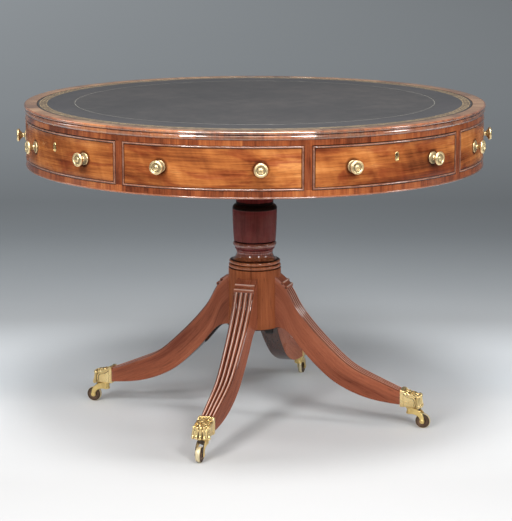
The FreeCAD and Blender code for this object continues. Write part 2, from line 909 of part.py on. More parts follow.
def brace_arm():
    """One arm: a strip from the plate, up to the leg and along its underside."""
    half = brace_arm_width / 2
    shift = brace_thickness * math.sin(math.radians(45))
    near = block_radius + glue_gap
    reach = block_radius + leg_reach * brace_reach_share
    blank = leg_blank()
    strip = moved(blank, -shift, 0, -shift).common(box(near, reach, -half, half, 0, leg_root_height))
    link = box(0, near + brace_thickness, -half, half, *brace_plate_limits())
    riser = box(near, near + brace_thickness, -half, half, brace_plate_limits()[0], leg_root_height)
    return strip.fuse(link).fuse(riser).cut(blank)


def brace_plate_limits():
    """Lower and upper face of the brace's plate."""
    upper = column_foot - glue_gap
    return upper - brace_thickness, upper


def iron_brace():
    """A round plate under the column with four arms that follow the legs' undersides."""
    brace = rod(brace_radius, *brace_plate_limits())
    arm = brace_arm()
    for azimuth in leg_azimuths():
        brace = brace.fuse(to_azimuth(arm, azimuth))
    return brace.removeSplitter()


def screw_places(radius):
    """Four places round the table's axis, each between two legs."""
    turns = [math.radians(azimuth + 45) for azimuth in leg_azimuths()]
    return [(radius * math.sin(turn), -radius * math.cos(turn)) for turn in turns]


def wood_screw(x, y, seat, up):
    """A countersunk iron screw. Its head's flat end is at the seat, and it points up or down."""
    cone_top = wood_screw_head_height
    profile = (
        Outline(0, 0)
        .line(wood_screw_head_radius, 0)
        .line(wood_screw_radius, cone_top)
        .line(wood_screw_radius, wood_screw_length - wood_screw_radius)
        .line(0, wood_screw_length)
        .turned()
    )
    if not up:
        profile.rotate(Vector(0, 0, 0), Vector(1, 0, 0), 180)
    return moved(profile, x, y, seat)


def iron_screws():
    """Four screws up through the brace, and four down through the platform."""
    low = screw_places(brace_radius * brace_screw_circle_share)
    high = screw_places((capital_radius + tenon_radius) / 2)
    return ([wood_screw(x, y, brace_plate_limits()[0], True) for x, y in low],
            [wood_screw(x, y, platform_top, False) for x, y in high])


# Paw caps and casters


def cap_shell():
    """The solid outer form of a paw cap: a sleeve with a band, and a row of toes in front."""
    x0, x1 = socket_radius, socket_radius + cap_length
    nose = x1 - cap_nose
    half = cap_width / 2
    side = (
        Outline(x0, cap_bottom)
        .line(nose, cap_bottom)
        .line(nose, cap_front_top - cap_nose)
        .quarter(nose - cap_nose, cap_front_top, False)
        .line(x0, cap_back_top)
        .face()
    )
    body = slab(side, half)
    band = box(x0, x0 + cap_band_length, -half - cap_band_proud, half + cap_band_proud,
               cap_bottom, cap_back_top + cap_band_proud)
    body = body.fuse(band)
    toe_top = cap_bottom + (cap_front_top - cap_bottom) * cap_toe_height_share
    reach = half - cap_toe_radius + cap_toe_flare
    for k in range(cap_toe_count):
        share = 2 * k / (cap_toe_count - 1) - 1
        x, y = x1 - cap_toe_radius - cap_toe_setback * share**2, reach * share
        body = body.fuse(rod(cap_toe_radius, cap_bottom, toe_top, x, y))
        body = body.fuse(Part.makeSphere(cap_toe_radius, Vector(x, y, toe_top)))
    return body


def cap_screw(side):
    """A small brass screw through a cheek of a paw cap into the leg."""
    x, z = socket_radius + cap_screw_setback, (cap_bottom + cap_front_top) / 2
    outer = cap_width / 2
    shank = cross_rod(cap_screw_radius, x, z, outer - cap_screw_length, outer)
    head = cross_rod(cap_screw_head_radius, x, z, outer, outer + cap_screw_head_height)
    screw = shank.fuse(head)
    return screw if side > 0 else screw.mirror(Vector(0, 0, 0), Vector(0, 1, 0))


def paw_cap():
    """A hollow paw cap with its two screws, and the hole for the caster's pin."""
    cap = cap_shell().cut(cap_hollow(0, tenon_length + tenon_gap))
    cap = cap.cut(box(socket_radius - cut_overrun, socket_radius + tenon_gap,
                      -cap_width / 2 + cap_wall, cap_width / 2 - cap_wall,
                      cap_bottom + cap_floor, cap_front_top - cap_wall))
    cap = cap.cut(rod(swivel_pin_radius + running_gap, 0, cap_bottom + cap_floor + cut_overrun,
                      swivel_radius))
    screws = [cap_screw(side) for side in (-1, 1)]
    for screw in screws:
        cap = cap.cut(screw)
    return [cap, *screws]


def caster_horn():
    """The swivelling horn: a block with its pin, two curved cheeks and the axle between them."""
    block_low = horn_top - horn_block_height
    block = rod(horn_block_radius, block_low, horn_top, swivel_radius)
    pin_top = cap_bottom + cap_floor + seat_gap
    pin = rod(swivel_pin_radius, horn_top, pin_top, swivel_radius)
    head = rod(swivel_head_radius, pin_top, pin_top + swivel_head_height, swivel_radius)
    horn = block.fuse(pin).fuse(head)
    x, z = axle_place, wheel_radius
    boss = cheek_boss_radius
    for side in (-1, 1):
        cheek = (
            Outline(swivel_radius, horn_top)
            .line(swivel_radius + horn_block_radius, horn_top)
            .quarter(x + boss, z, True)
            .arc((x, z - boss), (x - boss, z))
            .quarter(swivel_radius, block_low, False)
            .face()
        )
        y0 = cheek_inner if side > 0 else -cheek_inner - cheek_thickness
        cheek.translate(Vector(0, y0, 0))
        horn = horn.fuse(cheek.extrude(Vector(0, cheek_thickness, 0)))
    room = cross_rod(wheel_radius + cheek_gap, x, z, -cheek_inner, cheek_inner)
    outer = cheek_inner + cheek_thickness
    horn = horn.cut(room).cut(cross_rod(axle_radius, x, z, -outer, outer)).removeSplitter()
    axle = cross_rod(axle_radius, x, z, -outer, outer)
    for y in (-outer - axle_head_height, outer):
        axle = axle.fuse(cross_rod(axle_head_radius, x, z, y, y + axle_head_height))
    return [horn, axle]


def caster_wheel():
    """A brass wheel with a crowned tread, sunk webs and a bore for the axle."""
    half = wheel_width / 2
    edge = wheel_radius - wheel_crown
    web = half - wheel_web_recess
    rim = edge - wheel_rim_width
    bore = axle_radius + running_gap
    profile = (
        Outline(bore, -half)
        .line(wheel_hub_radius, -half)
        .line(wheel_hub_radius, -web)
        .line(rim, -web)
        .line(rim, -half)
        .line(edge, -half)
        .arc((wheel_radius, 0), (edge, half))
        .line(rim, half)
        .line(rim, web)
        .line(wheel_hub_radius, web)
        .line(wheel_hub_radius, half)
        .line(bore, half)
        .turned()
    )
    profile.rotate(Vector(0, 0, 0), Vector(1, 0, 0), 90)
    return moved(profile, axle_place, 0, wheel_radius)


def build_drum():
    """Writes the nodes that turn with the drum."""
    save("top_board", top_board())
    save("crossbanding", crossbanding())
    save("writing_leather", writing_leather())
    save("top_rail", top_rail())
    save("bottom_rail", bottom_rail())
    save("bottom_bead", bottom_bead())
    save("drum_bottom", drum_bottom())
    save("stiles", *stiles())
    save("partitions", *partitions())
    save("drawer_guides", *drawer_guides())
    save("hub_block", hub_block())
    false_azimuths = [azimuth + front_pitch_angle for azimuth in drawer_azimuths()]
    panel = front_panel(False)
    beads = cock_bead_strips(False)
    knobs = knob_pair(rail_inner)
    save("dummy_fronts", *[to_azimuth(panel, a) for a in false_azimuths])
    save("dummy_cock_beads", *[to_azimuth(bead, a) for a in false_azimuths for bead in beads])
    save("dummy_knobs", *[to_azimuth(piece, a) for a in false_azimuths for piece in knobs])


def build_drawers():
    """Writes the nodes of the drawers and their locks."""
    pieces = {
        "front": [drawer_front()],
        "box": drawer_box(),
        "cock_bead": cock_bead_strips(True),
        "knobs": knob_pair(front_inner),
        "lock": [lock_case(), escutcheon()],
        "bolt": [lock_bolt()],
    }
    for number, azimuth in enumerate(drawer_azimuths(), 1):
        for name, shapes in pieces.items():
            save(f"drawer_{number}_{name}", *[to_azimuth(shape, azimuth) for shape in shapes])


def build_base():
    """Writes the nodes of the column, the legs and the casters."""
    low_screws, high_screws = iron_screws()
    shaft, platform = column(), bearing_platform()
    for screw in low_screws:
        shaft = shaft.cut(screw)
    for screw in high_screws:
        shaft, platform = shaft.cut(screw), platform.cut(screw)
    brace = iron_brace()
    for screw in low_screws:
        brace = brace.cut(screw)
    save("column", shaft)
    save("bearing_platform", platform)
    save("spindle", spindle())
    save("spindle_nut", *spindle_nut())
    save("iron_brace", brace)
    save("iron_screws", *low_screws, *high_screws)
    pieces = {
        "leg": [leg()],
        "paw_cap": paw_cap(),
        "caster_horn": caster_horn(),
        "caster_wheel": [caster_wheel()],
    }
    for number, azimuth in enumerate(leg_azimuths(), 1):
        for name, shapes in pieces.items():
            save(f"{name}_{number}", *[to_azimuth(shape, azimuth) for shape in shapes])


os.makedirs("parts", exist_ok=True)
build_drum()
build_drawers()
build_base()
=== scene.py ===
"""Looks of a round library table: a revolving drum with four drawers and four false fronts, on a
turned column with four reeded legs, lion paw caps and casters.

Metres, +Z up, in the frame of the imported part: the floor is at zero, the column's axis is the Z axis,
and azimuths run anticlockwise seen from above, from the -Y side. A piece that repeats is drawn with its
outward direction along +X and turned to its azimuth.
"""

import logging
import math
from collections.abc import Callable, Iterable, Sequence
from dataclasses import dataclass, field, replace
from enum import Enum

import bmesh
import bpy
import numpy as np
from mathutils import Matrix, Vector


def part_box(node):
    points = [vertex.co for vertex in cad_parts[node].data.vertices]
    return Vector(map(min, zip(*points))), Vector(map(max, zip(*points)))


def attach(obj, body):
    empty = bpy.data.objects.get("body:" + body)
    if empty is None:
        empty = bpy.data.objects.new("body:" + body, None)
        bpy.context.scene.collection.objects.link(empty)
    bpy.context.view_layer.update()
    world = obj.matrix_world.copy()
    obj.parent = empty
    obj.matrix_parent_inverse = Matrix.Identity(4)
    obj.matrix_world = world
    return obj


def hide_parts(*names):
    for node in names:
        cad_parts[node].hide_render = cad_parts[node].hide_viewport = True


Array = np.ndarray
Pair = tuple[float, float]
Triple = Colour = tuple[float, float, float]
Stops = tuple[tuple[float, Colour], ...]
Mesh, Material, Socket = bpy.types.Mesh, bpy.types.Material, bpy.types.NodeSocket

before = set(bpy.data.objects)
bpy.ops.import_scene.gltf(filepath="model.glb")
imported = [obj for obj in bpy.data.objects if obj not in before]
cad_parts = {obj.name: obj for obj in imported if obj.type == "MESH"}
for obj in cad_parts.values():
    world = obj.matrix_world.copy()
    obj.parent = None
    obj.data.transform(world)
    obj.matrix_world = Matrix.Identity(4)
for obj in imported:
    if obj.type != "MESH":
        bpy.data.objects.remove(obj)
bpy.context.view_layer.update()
log = logging.getLogger("library_table")

WELD = 1e-7  # points closer than this are one
QUARTER_TURNS = (0.0, 90.0, 180.0, 270.0)
FRONT_PITCH = 45.0  # between neighbouring fronts, in degrees
OPENING_EDGE = 21.475  # from the middle of a front to the side of its opening, in degrees
LEG_AZIMUTH = 38.2  # of the first leg
KEYHOLE_HEIGHT = 0.6900  # of a keyhole's middle
KNOB_HEIGHT = 0.67655  # of a knob's middle
KNOB_SPREAD = 11.7  # from the middle of a front to a knob, in degrees
FRIEZE_DEGREE = math.radians(0.531)  # length of a degree along the frieze
SHADE_START, SHADE_SPAN = 0.25, 0.35  # how squarely a face looks the shaded way where painted shade starts, and over how much it grows


def radius_of(node: str) -> float:
    """Outer radius of a round node."""
    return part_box(node)[1].x


def top_of(node: str) -> float:
    """Height of a node's highest point."""
    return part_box(node)[1].z


def foot_of(node: str) -> float:
    """Height of a node's lowest point."""
    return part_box(node)[0].z


# Outlines


def drawn(*stops: tuple[float, ...]) -> Array:
    """An outline of radius and height, drawn with straight lines and arcs of circles.

    A stop of two numbers ends a straight stretch, and one of four ends an arc. The arc's middle stands
    off its chord by the third number, to the right of the way it runs, and the fourth is its number of
    straight pieces. With chord c and bulge b the radius is (c * c / 4 + b * b) / (2 * b).

    Args:
        *stops: The start, then the radius and height of each stop, with an arc's bulge and pieces.

    Returns:
        The outline's points, one row each.
    """
    points = [np.array([stops[0]])]
    for radius, height, *curve in stops[1:]:
        start, end = points[-1][-1], np.array([radius, height])
        if curve:
            bulge, steps = curve
            chord = np.linalg.norm(end - start)
            along = (end - start) / chord
            aside = np.array([along[1], -along[0]])
            size = (chord * chord / 4 + bulge * bulge) / (2 * bulge)
            centre = (start + end) / 2 + aside * (bulge - size)
            half = 2 * math.atan(2 * bulge / chord)
            turn = np.linspace(-half, half, steps + 1)[1:-1, None]
            points.append(centre + size * (aside * np.cos(turn) + along * np.sin(turn)))
        points.append(end[None])
    return np.vstack(points)


def eased(outline: Array, size: float, steps: int = 4, sharp: float = 24.0) -> Array:
    """An outline with its corners rounded.

    Each corner P sharper than an angle becomes the parabola (1-t)^2 A + 2 t (1-t) P + t^2 B, where A and
    B lie on its two sides at the given distance, or at under half of a shorter side.

    Args:
        outline: Points of an open outline, one row each.
        size: Distance from the corner to A and B.
        steps: Straight pieces in each rounded corner.
        sharp: Smallest turn in degrees that is rounded.

    Returns:
        The new points.
    """
    share_limit = 0.45
    corner = outline[1:-1]
    sides = [outline[:-2] - corner, outline[2:] - corner]
    lengths = [np.linalg.norm(side, axis=1, keepdims=True) for side in sides]
    first, last = [corner + side / length * np.minimum(size, share_limit * length)
                   for side, length in zip(sides, lengths)]
    cosine = -(sides[0] * sides[1]).sum(1) / (lengths[0] * lengths[1])[:, 0]
    rounded = np.degrees(np.arccos(np.clip(cosine, -1, 1))) > sharp
    t = np.linspace(0, 1, steps + 1)[None, :, None]
    curves = (1 - t) ** 2 * first[:, None] + 2 * t * (1 - t) * corner[:, None] + t**2 * last[:, None]
    curves = np.where(rounded[:, None, None], curves, corner[:, None])
    points = np.vstack([outline[:1], curves.reshape(-1, 2), outline[-1:]])
    apart = np.linalg.norm(np.diff(points, axis=0), axis=1) > WELD
    return points[np.r_[True, apart]]


def run_along(points: Array) -> Array:
    """Length of a broken line up to each of its points."""
    return np.r_[0, np.cumsum(np.linalg.norm(np.diff(points, axis=0), axis=1))]


def raised(value: Array, power: float) -> Array:
    """Numbers whose size is raised to a power, with their signs kept."""
    return np.sign(value) * np.abs(value) ** power


def stacked(*values: Array | float) -> Array:
    """Numbers brought to one shape and set side by side along a new last axis."""
    return np.stack(np.broadcast_arrays(*values), axis=-1)


def smooth_line(knots: Array, places: Array) -> Array:
    """A natural cubic spline through points, at given places.

    The curve's parameter is the length of the straight runs between the knots, from 0 to 1, and its
    second derivative at the knots solves the usual three-term equations with zero at both ends.

    Args:
        knots: Points that the line goes through, one row each.
        places: Parameters from 0 to 1 at which the line is wanted.

    Returns:
        One point for each place.
    """
    count, at = len(knots), run_along(knots)
    at /= at[-1]
    step = np.diff(at)
    system, right = np.eye(count), np.zeros_like(knots)
    inner = np.arange(1, count - 1)
    system[inner, inner - 1] = step[:-1]
    system[inner, inner] = 2 * (step[:-1] + step[1:])
    system[inner, inner + 1] = step[1:]
    slopes = np.diff(knots, axis=0) / step[:, None]
    right[1:-1] = 6 * np.diff(slopes, axis=0)
    bend = np.linalg.solve(system, right)
    k = np.clip(np.searchsorted(at, places, side="right") - 1, 0, count - 2)
    h, low, high = step[k][:, None], (places - at[k])[:, None], (at[k + 1] - places)[:, None]
    return (
        (bend[k] * high**3 + bend[k + 1] * low**3) / (6 * h)
        + (knots[k] / h - bend[k] * h / 6) * high
        + (knots[k + 1] / h - bend[k + 1] * h / 6) * low
    )


# Sheets of faces


@dataclass
class Sheet:
    """Faces with four corners, and where each point lies in the wood: along the grain, then across."""

    points: Array
    grain: Array
    faces: Array

    def turned(self, azimuth: float) -> "Sheet":
        """A copy drawn along +X, turned to an azimuth."""
        angle = math.radians(azimuth - 90)
        c, s = math.cos(angle), math.sin(angle)
        return replace(self, points=self.points @ np.array([[c, s, 0], [-s, c, 0], [0, 0, 1]]))

    def moved(self, x: float, y: float, z: float) -> "Sheet":
        """A copy moved by a distance."""
        return replace(self, points=self.points + np.array([x, y, z]))

    def cut_from(self, place: float) -> "Sheet":
        """A copy whose wood comes from further along the plank."""
        return replace(self, grain=self.grain + np.array([place, place, 0]))

    def laid(self) -> "Sheet":
        """A copy drawn upright, laid down so that its height runs along +X."""
        x, y, z = self.points.T
        return replace(self, points=stacked(z, y, -x))

    def across(self) -> "Sheet":
        """A copy drawn upright, laid down so that its height runs along +Y."""
        x, y, z = self.points.T
        return replace(self, points=stacked(x, z, -y))


def quads(rows: int, columns: int) -> Array:
    """The faces of a grid of points, four corners each."""
    corner = np.arange(rows * columns).reshape(rows, columns)[:-1, :-1].ravel()
    return np.stack([corner, corner + 1, corner + columns + 1, corner + columns], axis=1)


def grid(points: Array, grain: Array | None = None) -> Sheet:
    """A sheet from a grid of points, which are also its places in the wood unless these are given."""
    rows, columns = points.shape[:2]
    flat = points.reshape(-1, 3)
    return Sheet(flat, flat if grain is None else grain.reshape(-1, 3), quads(rows, columns))


def closed_loft(sections: Array, grain: Array | None = None) -> Sheet:
    """A closed skin over sections, each a ring of points whose last repeats its first.

    Both ends are closed by a fan: one more row at each end has all its points at the ring's middle.

    Args:
        sections: Points by section, by place round the section, by axis.
        grain: Places in the wood, in the same order.

    Returns:
        The skin.
    """

    def with_ends(values: Array) -> Array:
        """The values with one more row at each end, all at that ring's middle."""
        middles = [np.broadcast_to(v[:-1].mean(axis=0), v.shape)[None] for v in (values[0], values[-1])]
        return np.concatenate([middles[0], values, middles[1]])

    grain = sections if grain is None else grain
    return grid(with_ends(sections), with_ends(grain))


class Grain(Enum):
    """How the wood's grain lies in a turned piece."""

    UPRIGHT = "along the axis"
    ROUND = "round the axis"
    ACROSS = "along the outline, as in crossbanding"


def turned(outline: Array, grain: Grain = Grain.UPRIGHT, segments: int = 96) -> Sheet:
    """An outline of radius r and height z, turned round the Z axis: (r cos a, r sin a, z).

    Args:
        outline: Radius and height of each point.
        grain: How the grain lies.
        segments: Straight pieces in a whole turn.

    Returns:
        The turned skin. Its first and last columns are the same place.
    """
    angle = np.linspace(0, 2 * math.pi, segments + 1)[None, :]
    radius, height = outline[:, :1], outline[:, 1:]
    x, y, arc = radius * np.cos(angle), radius * np.sin(angle), outline[:, 0].max() * angle
    places = {
        Grain.UPRIGHT: (height, x, y),
        Grain.ROUND: (arc, radius, height),
        Grain.ACROSS: (run_along(outline)[:, None], arc, 0),
    }[grain]
    return grid(stacked(x, y, height), stacked(*places))


def plate(front: Array, back: Array, grain: Array, kept: Array | None = None) -> Sheet:
    """A plate between two grids of points, with a wall round it and round its holes.

    A wall stands on each side of a kept cell whose neighbour isn't kept.

    Args:
        front: Points of the front, by row and column.
        back: Points of the back, in the same order.
        grain: Places in the wood, in the same order.
        kept: Which cells exist. All of them if it isn't given.

    Returns:
        The plate.
    """
    rows, columns = front.shape[:2]
    kept = np.ones((rows - 1, columns - 1), bool) if kept is None else kept
    number = np.arange(rows * columns).reshape(rows, columns)
    behind = rows * columns
    face = quads(rows, columns)[kept.ravel()]
    parts = [face, face[:, ::-1] + behind]
    around = np.pad(kept, 1)
    a, b, c, d = number[:-1, :-1], number[:-1, 1:], number[1:, 1:], number[1:, :-1]
    neighbours = (around[:-2, 1:-1], around[1:-1, 2:], around[2:, 1:-1], around[1:-1, :-2])
    for start, end, neighbour in zip((a, b, c, d), (b, c, d, a), neighbours):
        bare = kept & ~neighbour
        parts.append(np.stack([end[bare], start[bare], start[bare] + behind, end[bare] + behind], axis=1))
    points = np.concatenate([front.reshape(-1, 3), back.reshape(-1, 3)])
    places = np.concatenate([grain.reshape(-1, 3)] * 2)
    return Sheet(points, places, np.concatenate(parts))


def lobe(centre: Sequence[float], size: Sequence[float], tilt: float = 0.0, yaw: float = 0.0,
         square: float = 1.0, steps: int = 20) -> Sheet:
    """A rounded lump: an ellipsoid whose sine and cosine are raised to a power.

    A point is (a C(u) C(v), b C(u) S(v), c S(u)), where C and S are the cosine and sine with their size
    raised to the power, and a power under 1 makes the lump squarer.

    Args:
        centre: Its middle.
        size: Half its length along X, Y and Z.
        tilt: Degrees that its nose, at +X, is turned down.
        yaw: Degrees that it is then turned about Z.
        square: The power.
        steps: Rows from pole to pole.

    Returns:
        The lump.
    """
    u = np.linspace(-math.pi / 2, math.pi / 2, steps + 1)[:, None]
    v = np.linspace(0, 2 * math.pi, 2 * steps + 1)[None, :]
    level = raised(np.cos(u), square)
    x, y = size[0] * level * raised(np.cos(v), square), size[1] * level * raised(np.sin(v), square)
    z = size[2] * raised(np.sin(u), square)
    a, b = math.radians(tilt), math.radians(yaw)
    x, z = x * math.cos(a) + z * math.sin(a), z * math.cos(a) - x * math.sin(a)
    x, y = x * math.cos(b) - y * math.sin(b), x * math.sin(b) + y * math.cos(b)
    return grid(stacked(x, y, z) + np.array(centre))


def tube(path: Array, width: Array, thickness: Array, square: float = 1.0, sides: int = 20) -> Sheet:
    """A bar along a path in space, with a rounded section that may change.

    The section at each point lies across the path: one axis is level and the other is square to both,
    and it is |a/w|^(2/p) + |b/t|^(2/p) = 1 for the power p.

    Args:
        path: Points of the path, one row each.
        width: Half the bar's level width at each point.
        thickness: Half its other width at each point.
        square: The power p, under 1 for a squarer section.
        sides: Straight pieces round the section.

    Returns:
        The closed bar.
    """
    ahead = np.gradient(path, axis=0)
    ahead /= np.linalg.norm(ahead, axis=1, keepdims=True)
    level = np.cross(ahead, np.array([0.0, 0.0, 1.0]))
    level /= np.maximum(np.linalg.norm(level, axis=1, keepdims=True), WELD)
    other = np.cross(level, ahead)
    turn = np.linspace(0, 2 * math.pi, sides + 1)[None, :, None]
    across = level[:, None] * width[:, None, None] * raised(np.cos(turn), square)
    up = other[:, None] * thickness[:, None, None] * raised(np.sin(turn), square)
    return closed_loft(path[:, None] + across + up)


# Shader nodes


def maths(operation: str, swapped: bool = False) -> Callable[..., "Signal"]:
    """A method that puts a Math node on a signal and its other terms.

    Args:
        operation: The node's operation.
        swapped: Whether the signal is the last term and not the first.

    Returns:
        The method, which gives the node's result.
    """

    def method(self: "Signal", *others: "Signal | float") -> "Signal":
        """Puts the node on the signal."""
        terms = (*others, self) if swapped else (self, *others)
        node = self.coat.node("Math", {"operation": operation}, dict(enumerate(terms)))
        return Signal(self.coat, node.outputs[0])

    return method


class Signal:
    """A number that changes over a surface: a socket that takes part in sums."""

    __add__, __radd__ = maths("ADD"), maths("ADD", swapped=True)
    __sub__, __rsub__ = maths("SUBTRACT"), maths("SUBTRACT", swapped=True)
    __mul__, __rmul__ = maths("MULTIPLY"), maths("MULTIPLY", swapped=True)
    __truediv__, __rtruediv__ = maths("DIVIDE"), maths("DIVIDE", swapped=True)
    __pow__, __rpow__ = maths("POWER"), maths("POWER", swapped=True)
    size = maths("ABSOLUTE")  # the number without its sign
    angle_to = maths("ARCTAN2")  # the angle whose tangent is this number over another
    larger = maths("MAXIMUM")
    sine = maths("SINE")
    floor = maths("FLOOR")
    fraction = maths("FRACT")  # what stands over the whole number below

    def __init__(self, coat: "Coat", socket: Socket) -> None:
        """Wraps a socket of a coat's nodes."""
        self.coat, self.socket = coat, socket

    def clipped(self) -> "Signal":
        """The number, kept between 0 and 1."""
        return Signal(self.coat, self.coat.node("Clamp", {}, {"Value": self}).outputs[0])

    def step(self, low: float, high: float) -> "Signal":
        """A smooth step from 0 at one value to 1 at another, which may be the lower one."""
        values = {"Value": self, "From Min": min(low, high), "From Max": max(low, high)}
        values |= {"To Min": float(low > high), "To Max": float(low < high)}
        node = self.coat.node("MapRange", {"interpolation_type": "SMOOTHSTEP"}, values)
        return Signal(self.coat, node.outputs[0])

    def near(self, value: float, reach: float, soft: float) -> "Signal":
        """1 within a reach of a value, falling to 0 over a softer edge."""
        return (self - value).size().step(reach + soft, reach)


class Coat:
    """The node tree of one finish."""

    def __init__(self, name: str) -> None:
        """Makes an empty material."""
        self.material = bpy.data.materials.new(name)
        self.material.use_nodes = True
        self.tree = self.material.node_tree
        self.tree.nodes.clear()

    def node(self, kind: str, settings: dict | None = None, values: dict | None = None) -> bpy.types.Node:
        """Adds a node.

        Args:
            kind: The node's type, without the words that all types start with.
            settings: Its settings, set first. "stops" gives a ramp's places and colours.
            values: A number, a colour, a signal or a socket for each named or numbered input.

        Returns:
            The node.
        """
        node = self.tree.nodes.new("ShaderNode" + kind)
        for name, value in (settings or {}).items():
            if name == "stops":
                for _ in range(len(value) - 2):
                    node.color_ramp.elements.new(0.5)
                for element, (place, colour) in zip(node.color_ramp.elements, value):
                    element.position, element.color = place, (*colour, 1.0)
            else:
                setattr(node, name, value)
        for name, value in (values or {}).items():
            socket = node.inputs[name]
            source = value.socket if isinstance(value, Signal) else value
            if isinstance(source, Socket):
                self.tree.links.new(source, socket)
            elif isinstance(source, tuple) and socket.type == "RGBA":
                socket.default_value = (*source, 1.0)
            else:
                socket.default_value = source
        return node

    def place(self) -> Socket:
        """The object's own coordinates."""
        return self.node("TexCoord").outputs["Object"]

    def carried(self, name: str) -> Socket:
        """A vector that the mesh carries under a name."""
        return self.node("Attribute", {"attribute_name": name}).outputs["Vector"]

    def relief(self) -> Signal:
        """How far the surface stands out here, from -1 in a hollow to 1 on a ridge."""
        node = self.node("Attribute", {"attribute_name": "relief"})
        return Signal(self, node.outputs["Fac"])

    def scaled(self, vector: Socket, scale: Sequence[float],
               offset: Socket | tuple[float, ...] = (0, 0, 0)) -> Socket:
        """A vector times a scale on each axis, plus an offset."""
        values = {0: vector, 1: tuple(scale), 2: offset}
        return self.node("VectorMath", {"operation": "MULTIPLY_ADD"}, values).outputs[0]

    def bent(self, vector: Socket, scale: float | Sequence[float],
             amount: Sequence[float]) -> Socket:
        """A vector moved by three cloudy noises of a scale, centred on a half, times an amount."""
        place, scale = (vector, scale) if isinstance(scale, float) else (self.scaled(vector, scale), 1.0)
        values = {"Vector": place, "Scale": scale, "Detail": 2.0}
        noises = self.node("TexNoise", {}, values).outputs[1]
        values = {0: noises, 1: (0.5, 0.5, 0.5)}
        centred = self.node("VectorMath", {"operation": "SUBTRACT"}, values).outputs[0]
        return self.scaled(centred, amount, vector)

    def parts(self, vector: Socket) -> list[Signal]:
        """The three numbers of a vector."""
        node = self.node("SeparateXYZ", {}, {0: vector})
        return [Signal(self, socket) for socket in node.outputs]

    def vector(self, *numbers: Signal | float) -> Socket:
        """A vector of three numbers."""
        return self.node("CombineXYZ", {}, dict(enumerate(numbers))).outputs[0]

    def noise(self, vector: Socket, scale: float | Sequence[float], detail: float = 3.0,
              rough: float = 0.5, twist: float = 0.0) -> Signal:
        """Cloudy noise, from 0 to 1, at one scale or at one for each axis."""
        if not isinstance(scale, float):
            vector, scale = self.scaled(vector, scale), 1.0
        values = {"Vector": vector, "Scale": scale, "Detail": detail, "Roughness": rough}
        values["Distortion"] = twist
        return Signal(self, self.node("TexNoise", {}, values).outputs[0])

    def cells(self, vector: Socket, scale: float, feature: str = "F1") -> Signal:
        """Distance in a pattern of cells."""
        settings = {"feature": feature}
        node = self.node("TexVoronoi", settings, {"Vector": vector, "Scale": scale})
        return Signal(self, node.outputs["Distance"])

    def from_middle(self) -> Signal:
        """Distance from a turned piece's own axis, by its place in the wood."""
        _, across, aside = self.parts(self.carried("grain"))
        return (across * across + aside * aside) ** 0.5

    def chance(self, number: Signal) -> Signal:
        """A number from 0 to 1 that changes at random with another."""
        node = self.node("TexWhiteNoise", {"noise_dimensions": "1D"}, {"W": number})
        return Signal(self, node.outputs["Value"])

    def on_frieze(self, place: float) -> tuple[Signal, Signal]:
        """How far along the frieze a spot is past a place in each front, and its height.

        Args:
            place: The place, in degrees to either side of a front's middle.

        Returns:
            The distance past it and the height.
        """
        x, y, z = self.parts(self.place())
        turn = (y.angle_to(x) * (180 / math.pi) / FRONT_PITCH + 0.5).fraction() - 0.5
        return (turn.size() * FRONT_PITCH - place) * FRIEZE_DEGREE, z

    def ramp(self, signal: Signal, stops: Sequence[tuple[float, Colour]]) -> Socket:
        """A colour for each value of a signal."""
        node = self.node("ValToRGB", {"stops": stops}, {"Fac": signal})
        return node.outputs["Color"]

    def mix(self, share: Signal | float, first: object, second: object,
            way: str = "MIX") -> Socket:
        """Two colours mixed by a share, or blended in another way."""
        settings = {"data_type": "RGBA", "blend_type": way}
        return self.node("Mix", settings, {0: share, 6: first, 7: second}).outputs[2]

    def bump(self, height: Signal, distance: float, strength: float = 1.0) -> Socket:
        """A normal bent by a height of up to a distance."""
        values = {"Height": height, "Distance": distance, "Strength": strength}
        return self.node("Bump", {}, values).outputs["Normal"]

    def finish(self, **values: object) -> Material:
        """Closes the tree with a Principled shader.

        Args:
            **values: Its inputs, with an underscore for each space in their names.

        Returns:
            The material.
        """
        named = {name.replace("_", " "): value for name, value in values.items()}
        shader = self.node("BsdfPrincipled", {}, named)
        self.node("OutputMaterial", {}, {"Surface": shader.outputs[0]})
        return self.material


# Finishes


